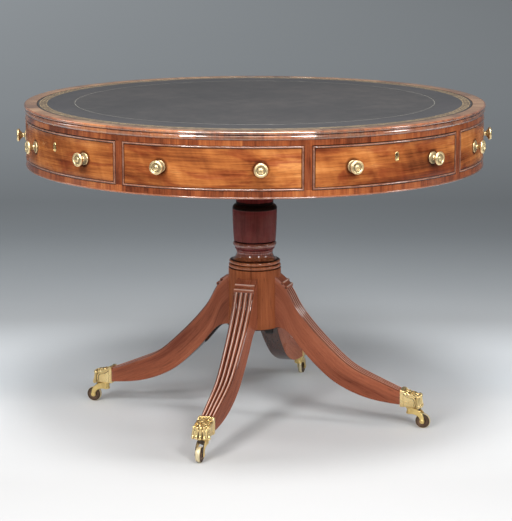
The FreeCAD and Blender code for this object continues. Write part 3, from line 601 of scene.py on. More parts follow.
@dataclass(frozen=True)
class PolishedWood:
    """French polished mahogany: streaks along the grain, clouds, fine pores, worn edges and old waxed
    polish, with painted highlights on ridges and painted shade in hollows, gaps and grooves.
    """

    name: str
    stops: Stops
    # Colour of the ridges: worn wood, and a painted highlight where the polish would catch the lamps.
    worn: Colour = (0.42, 0.15, 0.06)
    # Dark colour of old waxed polish in pores and hollows, also used for painted shade in hollows, on shaded
    # sides, along edges, in gaps and round the knobs.
    wax_and_shade: Colour = (0.018, 0.006, 0.004)
    broad: Pair = (2.2, 55.0)  # broad streaks to a metre, along and across the grain
    narrow: Pair = (7.0, 260.0)
    cloud: Pair = (3.0, 12.0)
    shares: Triple = (0.9, 0.6, 0.8)  # of broad streaks, narrow ones and clouds
    figure: float = 0.0  # strength of the cross figure
    smoke: Colour | None = None  # tint of the dusky patches of a figured veneer
    banding: float = 0.0  # length of a piece of crossbanding, 0 for none
    pieces: float = 0.36  # contrast between pieces of crossbanding
    opening_shade: tuple[float, ...] | None = None  # painted shade in the gap round an opening: half its degrees, foot, head, line
    reeds: Colour | None = None  # colour of the painted highlight along each reed's crest
    edge_shade: float = 0.0  # width of the painted shade along a panel's edge, next to its bead
    knob_shadow: Pair | None = None  # painted shadow round the knobs, at their place: degrees from a front's middle, height
    shade: tuple[Pair, ...] = ()  # middles and reaches of bands painted black as shade
    tint: Colour = (1.0, 1.0, 1.0)  # multiplies the wood over the second height: a plum tone with painted shade
    tint_limits: Pair = (0.0, 1.0)
    gloss: float = 0.3
    coat: float = 0.13  # strength of the polish on flat faces
    ridge_coat: float = 0.6  # what it gains on beads and in coves
    relieved: Pair = (0.08, 0.5)  # relief from which it gains, and where it has it all
    level: float = 0.02
    # Strength of the ridge colour: worn wood and painted highlight.
    ridge_wear_and_highlight: float = 0.4

    def build(self) -> Material:
        """Makes the material.

        The wood's own coordinates are bent a little, stretched along the grain and turned to noise at
        three scales. Their sum picks a colour. The relief adds a pale colour on ridges, partly worn wood
        and partly a painted highlight, and a dark one in hollows, partly old waxed polish and partly painted
        shade.

        Returns:
            The material.
        """
        coat = Coat(self.name)
        wood = coat.carried("grain")
        bent = coat.bent(wood, (3.0, 9.0, 9.0), (0.0, 0.016, 0.016))
        broad, narrow, cloud = [
            coat.noise(bent, (along, across, across), detail, rough) - 0.5
            for (along, across), detail, rough in (
                (self.broad, 4.0, 0.62), (self.narrow, 3.0, 0.6), (self.cloud, 2.0, 0.5))]
        value = broad * self.shares[0] + narrow * self.shares[1] + cloud * self.shares[2] + 0.5
        if self.figure:
            along, across, _ = coat.parts(bent)
            sloped = coat.vector(along * 6.0 + across * 10.0, across * 9.0 - along * 1.6, 0.0)
            flame = coat.noise(sloped, 1.0, 2.0, 0.5, 0.7)
            steep = coat.vector(along * 42.0 + across * 14.0, across * 6.0, 0.0)
            curl = coat.noise(steep, 1.0, 2.0, 0.5, 0.4)
            value = value + (flame - 0.5) * self.figure + (curl - 0.5) * (self.figure * 0.4)
        if self.banding:
            across = coat.parts(wood)[1]
            jitter = coat.noise(wood, (0.0, 6.0, 0.0), 0.0) * 1.2
            piece = (across / self.banding + jitter).floor()
            value = value + (coat.chance(piece) - 0.5) * self.pieces
        colour = coat.ramp(value, self.stops)
        # Over the limits the wood turns darker and more plum: a plum tone with painted shade under the drum.
        if self.tint_limits[0] > 0:
            share = coat.parts(coat.place())[2].step(*self.tint_limits)
            colour = coat.mix(share, colour, self.tint, "MULTIPLY")
        if self.smoke:
            dusk = coat.noise(bent, (5.0, 16.0, 1.0), 4.0, 0.6, 1.2)
            colour = coat.mix(dusk.step(0.47, 0.62) * 0.9, colour, self.smoke, "MULTIPLY")
        pores = coat.noise(bent, (90.0, 1500.0, 1500.0), 2.0, 0.5).step(0.56, 0.68)
        ticks = coat.noise(bent, (26.0, 420.0, 420.0), 2.0, 0.6).step(0.56, 0.70)
        colour = coat.mix((pores * 0.25 + ticks * 0.3).clipped(), colour, self.wax_and_shade)
        relief = coat.relief()
        # Ridges take the worn colour, partly worn wood and partly a painted highlight.
        rub = coat.noise(coat.place(), 60.0, 3.0, 0.6).step(0.35, 0.65)
        rubbed_and_lit = relief.step(0.2, 1.0) * self.ridge_wear_and_highlight * (rub * 0.6 + 0.4)
        colour = coat.mix(rubbed_and_lit.clipped(), colour, self.worn)
        # Hollows by the relief, with the shaded sides that put gives a low relief: old waxed polish and
        # painted shade.
        hollow = relief.step(-0.12, -0.8)
        # Painted shade along a panel's edge, where it meets its bead.
        if self.edge_shade:
            edge = coat.parts(wood)[2]
            hollow = (hollow + edge.step(self.edge_shade, self.edge_shade * 0.3)).clipped()
        # Painted shade on the rails, next to the gap round each opening.
        if self.opening_shade:
            half, low, high, line = self.opening_shade
            aside, z = coat.on_frieze(half)
            outside = aside.larger((z - (low + high) / 2).size() - (high - low) / 2)
            hollow = (hollow + outside.step(line, line * 0.4)).clipped()
        # A painted highlight along each reed's crest, and painted shade in the grooves between the reeds.
        if self.reeds:
            depth = coat.parts(wood)[2]
            colour = coat.mix(depth.step(-0.00028, -0.00003) * 0.75, colour, self.reeds)
            hollow = (hollow + depth.near(-0.0026, 0.0006, 0.0010) * 0.9).clipped()
        # The dark colour goes into everything gathered above: old waxed polish and painted shade.
        colour = coat.mix(hollow * 0.85, colour, self.wax_and_shade)
        # Painted shadow on the veneer round each knob.
        if self.knob_shadow:
            aside, z = coat.on_frieze(self.knob_shadow[0])
            spread = (aside * aside + (z - self.knob_shadow[1]) ** 2.0) ** 0.5
            colour = coat.mix(spread.step(0.0215, 0.0145) * 0.75, colour, self.wax_and_shade)
        # Painted shade: near-black bands, which get no polish.
        if self.shade:
            level = coat.parts(coat.place())[2]
            bands = [level.near(middle, reach, 0.0008) for middle, reach in self.shade]
            band = sum(bands[1:], bands[0]).clipped()
            colour = coat.mix(band * 0.97, colour, (0.008, 0.005, 0.004))
        smudge = coat.noise(coat.place(), 14.0, 4.0, 0.6)
        rough = self.gloss + (smudge - 0.5) * 0.2 + pores * 0.1 + hollow * 0.25
        height = narrow * 0.5 - pores * 0.5 + coat.noise(coat.place(), 40.0, 2.0) * 1.2
        curved = relief.step(*self.relieved) + relief.step(-0.05, -0.3)
        shine = (curved * self.ridge_coat + self.coat).clipped()
        if self.shade:
            shine = shine * (1 - band)
        return coat.finish(Base_Color=colour, Roughness=rough, Coat_Weight=shine, Coat_Roughness=0.07,
                           Coat_IOR=1.9, Normal=coat.bump(height, 0.0001), Specular_IOR_Level=self.level)


@dataclass(frozen=True)
class PlainWood:
    """Planed lining wood that never had a polish, browned by age, on the object's own coordinates."""

    name: str
    stops: Stops
    axis: int = 0  # the axis that the grain follows
    gloss: float = 0.62

    def build(self) -> Material:
        """Makes the material: rings and streaks along one axis, dirt in patches and a rough surface.

        Returns:
            The material.
        """
        coat = Coat(self.name)
        place = coat.place()
        scale = [28.0, 28.0, 28.0]
        scale[self.axis] = 1.6
        bent = coat.bent(place, 5.0, (0.02, 0.02, 0.02))
        rings = (coat.noise(bent, scale, 1.0) * 34.0).sine() * 0.5 + 0.5
        fine = coat.noise(bent, [value * 14 for value in scale], 3.0, 0.6)
        dirt = coat.noise(place, 7.0, 4.0, 0.6)
        colour = coat.ramp(rings * 0.35 + fine * 0.3 + dirt * 0.35, self.stops)
        colour = coat.mix(dirt.step(0.5, 0.75) * 0.45, colour, (0.09, 0.045, 0.02))
        height = fine - rings * 0.4
        return coat.finish(Base_Color=colour, Roughness=self.gloss + fine * 0.2,
                           Normal=coat.bump(height, 0.0002))


@dataclass(frozen=True)
class Brass:
    """Yellow brass: bright where hands reach it, brown in its hollows with dirt and painted shade, with
    faint scratches.
    """

    name: str
    bright: Colour
    dull: Colour
    # Dark colour of hollows and grooves: dirt, and painted shade.
    dirt: Colour = (0.035, 0.018, 0.006)
    gloss: float = 0.2
    tarnish: float = 0.35
    cast: float = 0.0  # strength of the grain that a casting keeps
    groove: Triple | None = None  # radii of a knob's dark groove, and its start
    tread: Colour | None = None  # colour of a wheel's tread: kept bright by the floor, and painted light
    tread_limits: Pair = (0.0163, 0.0170)

    def build(self) -> Material:
        """Makes the material: patches of tarnish, dirt and painted shade by the relief, and scratches in the
        bump.

        Returns:
            The material.
        """
        coat = Coat(self.name)
        place = coat.place()
        patches = coat.noise(place, 45.0, 4.0, 0.62).step(0.4, 0.72)
        relief = coat.relief()
        ridge = relief.step(0.1, 0.8)
        # Hollows darken with dirt and painted shade; the horns' shaded outer faces count among them.
        hollow = relief.step(-0.05, -0.6)
        share = (patches * self.tarnish * (1 - ridge)).clipped()
        colour = coat.mix(share, self.bright, self.dull)
        colour = coat.mix(hollow * 0.97, colour, self.dirt)
        if self.groove:
            along = coat.parts(coat.carried("grain"))[0]
            inner, outer, start = self.groove
            ring = coat.from_middle().near((inner + outer) / 2, (outer - inner) / 2, 0.0005)
            foot = along.near(0.0036, 0.0010, 0.0006) * 0.8
            hollow = (hollow + ring * along.step(start, start + 0.001) * 0.9 + foot).clipped()
            colour = coat.mix(hollow * 0.8, colour, self.dirt)
        # The tread is bright: rubbed by the floor, and painted light.
        if self.tread:
            colour = coat.mix(coat.from_middle().step(*self.tread_limits), colour, self.tread)
        spots = coat.noise(place, 420.0, 2.0).step(0.66, 0.76)
        colour = coat.mix(spots * 0.3, colour, self.dull)
        scratch = coat.noise(place, (260.0, 1400.0, 1800.0), 2.0, 0.6)
        rough = self.gloss + patches * 0.14 + hollow * 0.3 + scratch * 0.06
        height = scratch * 0.25 + coat.noise(place, 700.0, 3.0, 0.6) * self.cast
        return coat.finish(Base_Color=colour, Metallic=1 - hollow * 0.85, Roughness=rough,
                           Normal=coat.bump(height, 0.00012))


@dataclass(frozen=True)
class BlackIron:
    """Forged iron, blackened and a little rusty."""

    name: str

    def build(self) -> Material:
        """Makes the material: black scale, rust where a noise is high, and a hammered bump.

        Returns:
            The material.
        """
        coat = Coat(self.name)
        place = coat.place()
        rust = coat.noise(place, 60.0, 5.0, 0.65).step(0.5, 0.72)
        colour = coat.mix(rust * 0.8, (0.03, 0.028, 0.026), (0.13, 0.045, 0.016))
        dents = coat.cells(place, 110.0)
        height = dents * 0.8 + coat.noise(place, 500.0, 3.0) * 0.4
        return coat.finish(Base_Color=colour, Metallic=0.6, Roughness=0.5 + rust * 0.3,
                           Normal=coat.bump(height, 0.0004))


@dataclass(frozen=True)
class TooledLeather:
    """Waxed black hide with a tooled border: a faded gilt band and a fine line inside it."""

    name: str
    edge: float  # radius of the leather
    band: Pair  # inner and outer radius of the gilt band
    line: float  # radius of the fine line
    motifs: int = 132  # in the band, all the way round

    def build(self) -> Material:
        """Makes the material on the polar coordinates of the top.

        The band holds a row of lozenges between two fillets: in each motif, with p its place from -1 to
        1 along the band and q the same across it, the lozenge is where |p| + |q| is small.

        Returns:
            The material.
        """
        coat = Coat(self.name)
        place = coat.place()
        x, y, _ = coat.parts(place)
        radius = (x * x + y * y) ** 0.5
        angle = y.angle_to(x)
        inner, outer = self.band
        middle, half = (inner + outer) / 2, (outer - inner) / 2
        in_band = radius.near(middle, half, 0.0004)
        p = (angle * (self.motifs / (2 * math.pi))).fraction() * 2.0 - 1.0
        q = (radius - middle) / half
        size = p.size() + q.size() * 0.9
        lozenge = size.near(0.62, 0.1, 0.08) + size.step(0.26, 0.16)
        scroll = ((angle * self.motifs).sine() * 0.3 + q).near(0.0, 0.1, 0.08) * size.step(0.75, 0.95)
        fillets = radius.near(inner + 0.0016, 0.0010, 0.0004) + radius.near(outer - 0.0022, 0.0010, 0.0004)
        worn = coat.noise(place, 55.0, 4.0, 0.7).step(0.36, 0.62)
        tooled = (((lozenge + scroll) * in_band + fillets).clipped()) * (worn * 0.7 + 0.3)
        fine_line = radius.near(self.line, 0.0005, 0.0004) * (worn * 0.5 + 0.5)
        broad = coat.noise(place, 3.2, 5.0, 0.6)
        small = coat.noise(place, 38.0, 4.0, 0.65)
        colour = coat.ramp(broad * 0.6 + small * 0.4, (
            (0.3, (0.033, 0.033, 0.035)), (0.5, (0.048, 0.046, 0.047)), (0.7, (0.072, 0.065, 0.063))))
        colour = coat.mix(radius.step(self.line, self.line + 0.02) * 0.3, colour, (0.056, 0.055, 0.063))
        colour = coat.mix(in_band * 0.6, colour, (0.105, 0.066, 0.036))
        colour = coat.mix(tooled * 0.75, colour, (0.36, 0.27, 0.15))
        colour = coat.mix(fine_line * 0.6, colour, (0.42, 0.40, 0.34))
        rim = radius.near(self.edge - 0.0010, 0.0016, 0.0006)
        colour = coat.mix(rim * 0.85, colour, (0.020, 0.014, 0.010))
        scuffs = coat.noise(place, (5.0, 60.0, 1.0), 5.0, 0.7, 0.8).step(0.6, 0.72)
        colour = coat.mix(scuffs * 0.25, colour, (0.14, 0.125, 0.11))
        pebble = coat.cells(place, 900.0)
        creases = coat.cells(coat.bent(place, 30.0, (0.02, 0.02, 0.0)), 42.0, "DISTANCE_TO_EDGE")
        creases = creases.step(0.02, 0.0)
        height = pebble * 0.35 - creases * 0.35 - tooled * 0.8 + small * 0.6
        rough = 0.34 + broad * 0.16 + scuffs * 0.1 + in_band * 0.06
        return coat.finish(Base_Color=colour, Roughness=rough, Normal=coat.bump(height, 0.00022))


@dataclass(frozen=True)
class PaperSweep:
    """The studio's floor: pale in front of the table and darker behind it, by its own coordinates. Its grey
    and its glow are painted light: the fall of the studio's light and a lit backdrop far behind.
    """

    name: str
    bearing: float  # azimuth that the floor darkens away from
    near: float = -3.0  # distances behind the table's axis
    far: float = 12.0
    slope: float = 0.09  # how much darker the back is a metre to the right, a painted falloff of light
    paper: tuple[Triple, ...] = (  # distance, grey and coolness; the grey is painted falloff of the studio's light
        (-3.0, 0.12, 0.0), (-1.9, 0.14, 0.0), (-1.0, 0.50, 0.0), (-0.55, 0.51, 0.0), (-0.35, 0.56, 0.1),
        (-0.15, 0.66, 0.2), (0.1, 0.82, 0.4), (0.3, 0.82, 0.7), (0.6, 0.73, 0.6), (1.0, 0.455, 0.55),
        (1.55, 0.40, 0.8), (2.2, 0.28, 1.0), (3.0, 0.135, 1.1), (6.0, 0.10, 1.1))
    # Emission that paints a lit backdrop far behind the table: distance, grey and coolness.
    glow: tuple[Triple, ...] = (
        (-3.0, 0.0, 1.0), (1.6, 0.0, 1.0), (2.3, 0.024, 1.0), (3.0, 0.086, 1.0), (3.6, 0.120, 1.0),
        (4.4, 0.155, 1.0), (6.0, 0.188, 1.0), (8.4, 0.203, 1.0), (12.0, 0.210, 1.0))

    def build(self) -> Material:
        """Makes the material: paper whose grey and glow follow the distance along the studio, painted in
        place of the fall of its light.

        Returns:
            The material.
        """
        coat = Coat(self.name)
        x, y, _ = coat.parts(coat.place())
        angle = math.radians(self.bearing)
        distance = x * -math.sin(angle) + y * math.cos(angle)
        aside = x * math.cos(angle) + y * math.sin(angle)
        depth = self.far - self.near
        share = ((distance - self.near) / depth).clipped()
        side = (aside * -self.slope * distance.step(1.0, 2.0) + 0.5).clipped() + 0.5
        dimmed = coat.vector(side, side, side)
        colour, glow = [
            coat.mix(1.0, coat.ramp(share, [
                ((metres - self.near) / depth, (grey * (1 - 0.075 * cool), grey, grey * (1 + 0.06 * cool)))
                for metres, grey, cool in stops]), dimmed, "MULTIPLY")
            for stops in (self.paper, self.glow)]
        fibre = coat.noise(coat.place(), 220.0, 3.0)
        return coat.finish(Base_Color=colour, Roughness=0.75, Specular_IOR_Level=0.15, Emission_Color=glow,
                           Emission_Strength=1.0, Normal=coat.bump(fibre, 0.0002))


class Finishes:
    """Every finish of the table, built once."""

    def __init__(self) -> None:
        """Builds the materials."""
        solid = ((0.26, (0.140, 0.034, 0.014)), (0.44, (0.280, 0.080, 0.031)),
                 (0.60, (0.400, 0.122, 0.048)), (0.80, (0.520, 0.180, 0.080)))
        russet = ((0.26, (0.140, 0.034, 0.019)), (0.44, (0.275, 0.080, 0.040)),
                  (0.60, (0.385, 0.118, 0.059)), (0.80, (0.500, 0.180, 0.095)))
        figured = ((0.22, (0.120, 0.032, 0.012)), (0.42, (0.285, 0.082, 0.023)),
                   (0.60, (0.460, 0.152, 0.040)), (0.80, (0.640, 0.262, 0.082)))
        stained = ((0.24, (0.060, 0.012, 0.006)), (0.42, (0.150, 0.036, 0.015)),
                   (0.60, (0.230, 0.066, 0.026)), (0.80, (0.330, 0.110, 0.045)))
        banded = ((0.24, (0.090, 0.016, 0.007)), (0.42, (0.220, 0.048, 0.016)),
                  (0.60, (0.360, 0.095, 0.028)), (0.80, (0.520, 0.180, 0.055)))
        tan = ((0.24, (0.130, 0.056, 0.026)), (0.42, (0.270, 0.128, 0.060)),
               (0.60, (0.390, 0.205, 0.100)), (0.80, (0.520, 0.300, 0.160)))
        pine = ((0.25, (0.160, 0.078, 0.032)), (0.5, (0.300, 0.165, 0.070)), (0.75, (0.420, 0.255, 0.125)))
        # Painted shade on the column: the collar in the drum's shadow, then thin lines in its quirks and
        # grooves.
        painted_shade_bands = ((0.5105, 0.0085), (0.4252, 0.0010), (0.4067, 0.0004), (0.3808, 0.0005),
                     (0.3714, 0.0005), (0.3618, 0.0005))
        # The column's tint above the cove is a plum tone with painted shade under the drum.
        self.column = PolishedWood("polished_column_mahogany", solid, worn=(0.55, 0.26, 0.15),
                                   shares=(0.5, 0.4, 0.6), shade=painted_shade_bands, tint=(0.42, 0.22, 0.52),
                                   tint_limits=(0.376, 0.410), relieved=(0.30, 0.75), coat=0.03,
                                   ridge_coat=0.97).build()
        self.platform = PolishedWood("polished_platform_mahogany", russet).build()
        self.legs = PolishedWood("polished_leg_mahogany", russet, shares=(0.45, 0.35, 0.7), ridge_wear_and_highlight=0.0,
                                 reeds=(0.84, 0.64, 0.55), relieved=(0.2, 0.7), coat=0.08).build()
        self.fronts = PolishedWood("figured_front_veneer", figured, shares=(0.5, 0.45, 0.7), figure=0.85,
                                   smoke=(0.64, 0.46, 0.56), edge_shade=0.0026, gloss=0.24,
                                   knob_shadow=(KNOB_SPREAD, KNOB_HEIGHT), ridge_wear_and_highlight=0.0, coat=0.07).build()
        low, high = foot_of("dummy_cock_beads"), top_of("dummy_cock_beads")
        self.bands = PolishedWood("crossbanded_rail_veneer", banded, broad=(5.0, 60.0), narrow=(12.0, 260.0),
                                  cloud=(10.0, 20.0), shares=(0.8, 0.6, 0.6), banding=0.085,
                                  opening_shade=(OPENING_EDGE, low, high, 0.0018), ridge_wear_and_highlight=0.2, coat=0.05).build()
        crossed = {"broad": (6.0, 60.0), "narrow": (12.0, 260.0), "cloud": (10.0, 16.0),
                   "shares": (0.7, 0.5, 0.6), "banding": 0.12}
        self.edge = PolishedWood("crossbanded_edge_veneer", banded, gloss=0.16, coat=0.5, ridge_wear_and_highlight=0.3,
                                 worn=(0.55, 0.30, 0.16), level=0.5, **crossed).build()
        self.ring = PolishedWood("sunned_top_banding", tan, coat=0.3, ridge_wear_and_highlight=0.2, level=0.4, **crossed).build()
        self.beads = PolishedWood("cock_bead_mahogany", stained, worn=(0.66, 0.40, 0.28), ridge_wear_and_highlight=0.34,
                                  gloss=0.2, coat=0.5).build()
        self.carcase = PlainWood("carcase_mahogany", (
            (0.25, (0.045, 0.014, 0.008)), (0.5, (0.105, 0.034, 0.016)), (0.75, (0.17, 0.062, 0.028))),
            axis=2, gloss=0.5).build()
        self.lining_x = PlainWood("pine_lining_along_x", pine, axis=0).build()
        self.lining_y = PlainWood("pine_lining_along_y", pine, axis=1).build()
        self.knobs = Brass("polished_knob_brass", (0.94, 0.74, 0.41), (0.58, 0.40, 0.18), gloss=0.32,
                           groove=(0.0072, 0.0088, 0.0185)).build()
        self.cast = Brass("cast_paw_brass", (0.96, 0.74, 0.36), (0.50, 0.33, 0.12), gloss=0.20,
                          tarnish=0.4, cast=0.7).build()
        self.horns = Brass("dull_horn_brass", (0.94, 0.70, 0.28), (0.48, 0.30, 0.10), (0.020, 0.012, 0.012),
                           gloss=0.28, tarnish=0.45, cast=0.6).build()
        # Dark brown sides and a bright tread: tarnish and rubbing by the floor, with painted shade on the
        # sides and painted light on the tread.
        self.wheels = Brass("worn_and_lit_wheel_brass", (0.24, 0.15, 0.10), (0.09, 0.055, 0.045), gloss=0.36,
                            tarnish=0.9, cast=0.4, tread=(0.90, 0.78, 0.50)).build()
        self.iron = BlackIron("blackened_iron").build()
        self.leather = TooledLeather("tooled_black_leather", radius_of("writing_leather"), (0.481, 0.4995),
                                     0.417).build()


# Making pieces


def read(items: bpy.types.bpy_prop_collection, what: str) -> Array:
    """A vector of each point of a mesh, one row each."""
    values = np.empty(len(items) * 3)
    items.foreach_get(what, values)
    return values.reshape(-1, 3)


def relief_of(mesh: Mesh, rounds: int) -> Array:
    """How far each point of a mesh stands out of its surroundings, in metres.

    In each round a point goes half the way to the mean of its neighbours, which count by the inverse
    square of their distance. The answer is how far it went against its normal.

    Args:
        mesh: The mesh.
        rounds: How often the points move.

    Returns:
        One number for each point, over zero on ridges.
    """
    count, ends = len(mesh.vertices), np.empty(len(mesh.edges) * 2, np.int32)
    points, normals = read(mesh.vertices, "co"), read(mesh.vertices, "normal")
    mesh.edges.foreach_get("vertices", ends)
    a, b = ends.reshape(-1, 2).T
    pull = 1 / (((points[a] - points[b]) ** 2).sum(1) + WELD**2)
    total = np.bincount(a, pull, count) + np.bincount(b, pull, count) + WELD
    place = points.copy()
    for _ in range(rounds):
        sums = [np.bincount(a, pull * axis[b], count) + np.bincount(b, pull * axis[a], count)
                for axis in place.T]
        place += 0.5 * (np.stack(sums, axis=1) / total[:, None] - place)
    return ((points - place) * normals).sum(1)


def mesh_of(name: str, sheets: Iterable[Sheet]) -> Mesh:
    """A mesh of sheets, with points in one place made one, and faces turned outwards.

    Args:
        name: The mesh's name.
        sheets: What it is made of.

    Returns:
        The mesh, with each corner's place in the wood under the name "grain".
    """
    sheets = list(sheets)
    starts = np.cumsum([0] + [len(sheet.points) for sheet in sheets[:-1]])
    points = np.concatenate([sheet.points for sheet in sheets])
    grain = np.concatenate([sheet.grain for sheet in sheets])
    faces = np.concatenate([sheet.faces + start for sheet, start in zip(sheets, starts)])
    mesh = bpy.data.meshes.new(name)
    mesh.vertices.add(len(points))
    mesh.vertices.foreach_set("co", points.astype(np.float32).ravel())
    mesh.loops.add(faces.size)
    mesh.loops.foreach_set("vertex_index", faces.astype(np.int32).ravel())
    mesh.polygons.add(len(faces))
    mesh.polygons.foreach_set("loop_start", np.arange(0, faces.size, 4, dtype=np.int32))
    mesh.update(calc_edges=True)
    attribute = mesh.attributes.new("grain", "FLOAT_VECTOR", "CORNER")
    attribute.data.foreach_set("vector", grain[faces.ravel()].astype(np.float32).ravel())
    shape = bmesh.new()
    shape.from_mesh(mesh)
    bmesh.ops.remove_doubles(shape, verts=shape.verts, dist=WELD)
    bmesh.ops.recalc_face_normals(shape, faces=shape.faces)
    shape.to_mesh(mesh)
    shape.free()
    return mesh


def put(name: str, shape: Mesh | Sequence[Sheet], finish: Material, body: str,
        slot: str, replaced: Sequence[str] = (), sharp: float = 38.0, scale: float = 0.0004,
        rounds: int = 12, shaded_side: Sequence[float] | None = None) -> bpy.types.Object:
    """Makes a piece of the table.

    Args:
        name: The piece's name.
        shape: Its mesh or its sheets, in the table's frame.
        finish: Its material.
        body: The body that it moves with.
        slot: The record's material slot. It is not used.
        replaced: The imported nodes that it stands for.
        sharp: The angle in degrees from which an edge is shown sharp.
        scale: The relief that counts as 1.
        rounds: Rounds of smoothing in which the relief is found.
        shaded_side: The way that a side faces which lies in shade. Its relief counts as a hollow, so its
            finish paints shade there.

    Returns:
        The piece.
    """
    mesh = shape if isinstance(shape, Mesh) else mesh_of(name, shape)
    mesh.materials.clear()
    mesh.materials.append(finish)
    mesh.shade_smooth()
    mesh.set_sharp_from_angle(angle=math.radians(sharp))
    relief = np.clip(relief_of(mesh, rounds) / scale, -1, 1)
    # Faces that look the shaded way get a low relief, so their finish paints shade on them.
    if shaded_side is not None:
        facing = read(mesh.vertices, "normal") @ np.array(shaded_side)
        relief = np.minimum(relief, 1 - 2 * np.clip((facing - SHADE_START) / SHADE_SPAN, 0, 1))
    attribute = mesh.attributes.new("relief", "FLOAT", "POINT")
    attribute.data.foreach_set("value", relief.astype(np.float32))
    piece = bpy.data.objects.new(name, mesh)
    bpy.context.scene.collection.objects.link(piece)
    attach(piece, body)
    if replaced:
        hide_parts(*replaced)
    log.info("%s: %d faces on %s", name, len(mesh.polygons), body)
    return piece


def fused(name: str, sheets: Iterable[Sheet], grain_size: float, rounds: int) -> Mesh:
    """Overlapping closed forms made one skin, with its joints softened as in a casting.

    Args:
        name: The mesh's name.
        sheets: The forms.
        grain_size: Size of the new faces.
        rounds: Rounds of softening.

    Returns:
        The mesh.
    """
    rough = bpy.data.objects.new(name + "_rough", mesh_of(name + "_rough", sheets))
    bpy.context.scene.collection.objects.link(rough)
    remesh = rough.modifiers.new("skin", "REMESH")
    remesh.mode = "VOXEL"
    remesh.voxel_size = grain_size
    soften = rough.modifiers.new("soften", "SMOOTH")
    soften.factor = 0.5
    soften.iterations = rounds
    depsgraph = bpy.context.evaluated_depsgraph_get()
    mesh = bpy.data.meshes.new_from_object(rough.evaluated_get(depsgraph))
    mesh.name = name
    bpy.data.objects.remove(rough)
    return mesh


def turned_copy(mesh: Mesh, name: str, azimuth: float) -> Mesh:
    """A copy of a mesh drawn along +X, turned to an azimuth."""
    points = read(mesh.vertices, "co")
    copy = mesh.copy()
    copy.name = name
    turned_points = Sheet(points, points, quads(1, 1)).turned(azimuth).points
    copy.vertices.foreach_set("co", turned_points.astype(np.float32).ravel())
    copy.update()
    return copy


def outward(azimuth: float, level: float = 1.0, rise: float = 0.0) -> Triple:
    """A direction at an azimuth, with its level part and its rise."""
    angle = math.radians(azimuth)
    return level * math.sin(angle), -level * math.cos(angle), rise


def dress(node: str, finish: Material) -> None:
    """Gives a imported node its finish."""
    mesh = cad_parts[node].data
    mesh.materials.clear()
    mesh.materials.append(finish)
    log.info("%s: packed node dressed", node)


# The table


@dataclass
class Part:
    """A part of the table, which makes its own pieces."""

    finishes: Finishes


@dataclass
class Top(Part):
    """The board with its reeded edge, the crossbanding and the leather."""

    radius: float = radius_of("top_board")
    height: float = top_of("top_board")
    underside: float = foot_of("top_board")
    upper_reed: float = 0.0070
    upper_bulge: float = 0.0035
    lower_bulge: float = 0.0026
    lower_inset: float = 0.0014
    quirk: float = 0.0011
    banding: float = 0.0015
    leather: float = radius_of("writing_leather")
    leather_top: float = top_of("writing_leather")
    segments: int = 384

    def board_outline(self) -> Array:
        """The board's section: flat underside, lower reed, quirk, upper reed, sunk ground."""
        root = self.radius - self.upper_bulge
        lower = self.radius - self.lower_inset - self.lower_bulge
        foot, split, ground = self.underside, self.height - self.upper_reed, self.height - self.banding
        sunk, ledge = lower - self.quirk, root - self.quirk / 4
        return eased(drawn(
            (0, foot), (sunk, foot), (lower, foot + self.quirk / 4),
            (lower, split - self.quirk, self.lower_bulge, 14), (sunk, split - self.quirk), (sunk, split),
            (root, split), (root, self.height, self.upper_bulge, 16), (ledge, self.height),
            (ledge, ground), (0, ground)), 0.0003, 2)

    def ring_outline(self) -> Array:
        """Section of the crossbanding, with its arrises eased."""
        outer, inner = self.radius - self.upper_bulge - self.quirk / 4, self.leather + self.quirk / 2
        middle, ground = (outer + inner) / 2, self.height - self.banding
        return eased(drawn((middle, ground), (outer, ground), (outer, self.height), (inner, self.height),
                           (inner, ground), (middle, ground)), 0.0004, 3)

    def leather_outline(self) -> Array:
        """Section of the leather: tooled rings are pressed a little into its face."""
        ground, pressed, slope = self.height - self.banding, self.leather_top - 0.00018, 0.0002
        stops = [(0, ground), (self.leather, ground), (self.leather, self.leather_top - 0.0005),
                 (self.leather - 0.0008, self.leather_top)]
        for outer, inner in ((0.5005, 0.4995), (0.4985, 0.4975), (0.4835, 0.4825), (0.4815, 0.4805),
                             (0.4176, 0.4164)):
            stops += [(outer, self.leather_top), (outer - slope, pressed), (inner + slope, pressed),
                      (inner, self.leather_top)]
        return np.vstack([drawn(*stops), stacked(np.linspace(0.40, 0.0, 24), self.leather_top)])

    def build(self) -> None:
        """Makes the three pieces."""
        finishes = self.finishes
        board = turned(self.board_outline(), Grain.ACROSS, self.segments)
        put("reeded_top_board", [board], finishes.edge, "drum", "mahogany", ["top_board"], scale=0.0003)
        ring = turned(self.ring_outline(), Grain.ACROSS, self.segments)
        put("top_crossbanding", [ring], finishes.ring, "drum", "crossband_veneer", ["crossbanding"])
        hide = turned(self.leather_outline(), Grain.ROUND, self.segments // 2)
        put("tooled_leather", [hide], finishes.leather, "drum", "green_black_leather", ["writing_leather"])


class FrontKind(Enum):
    """The two kinds of front."""

    DRAWER = "ends parallel to its travel"
    FALSE = "ends pointing at the axis"


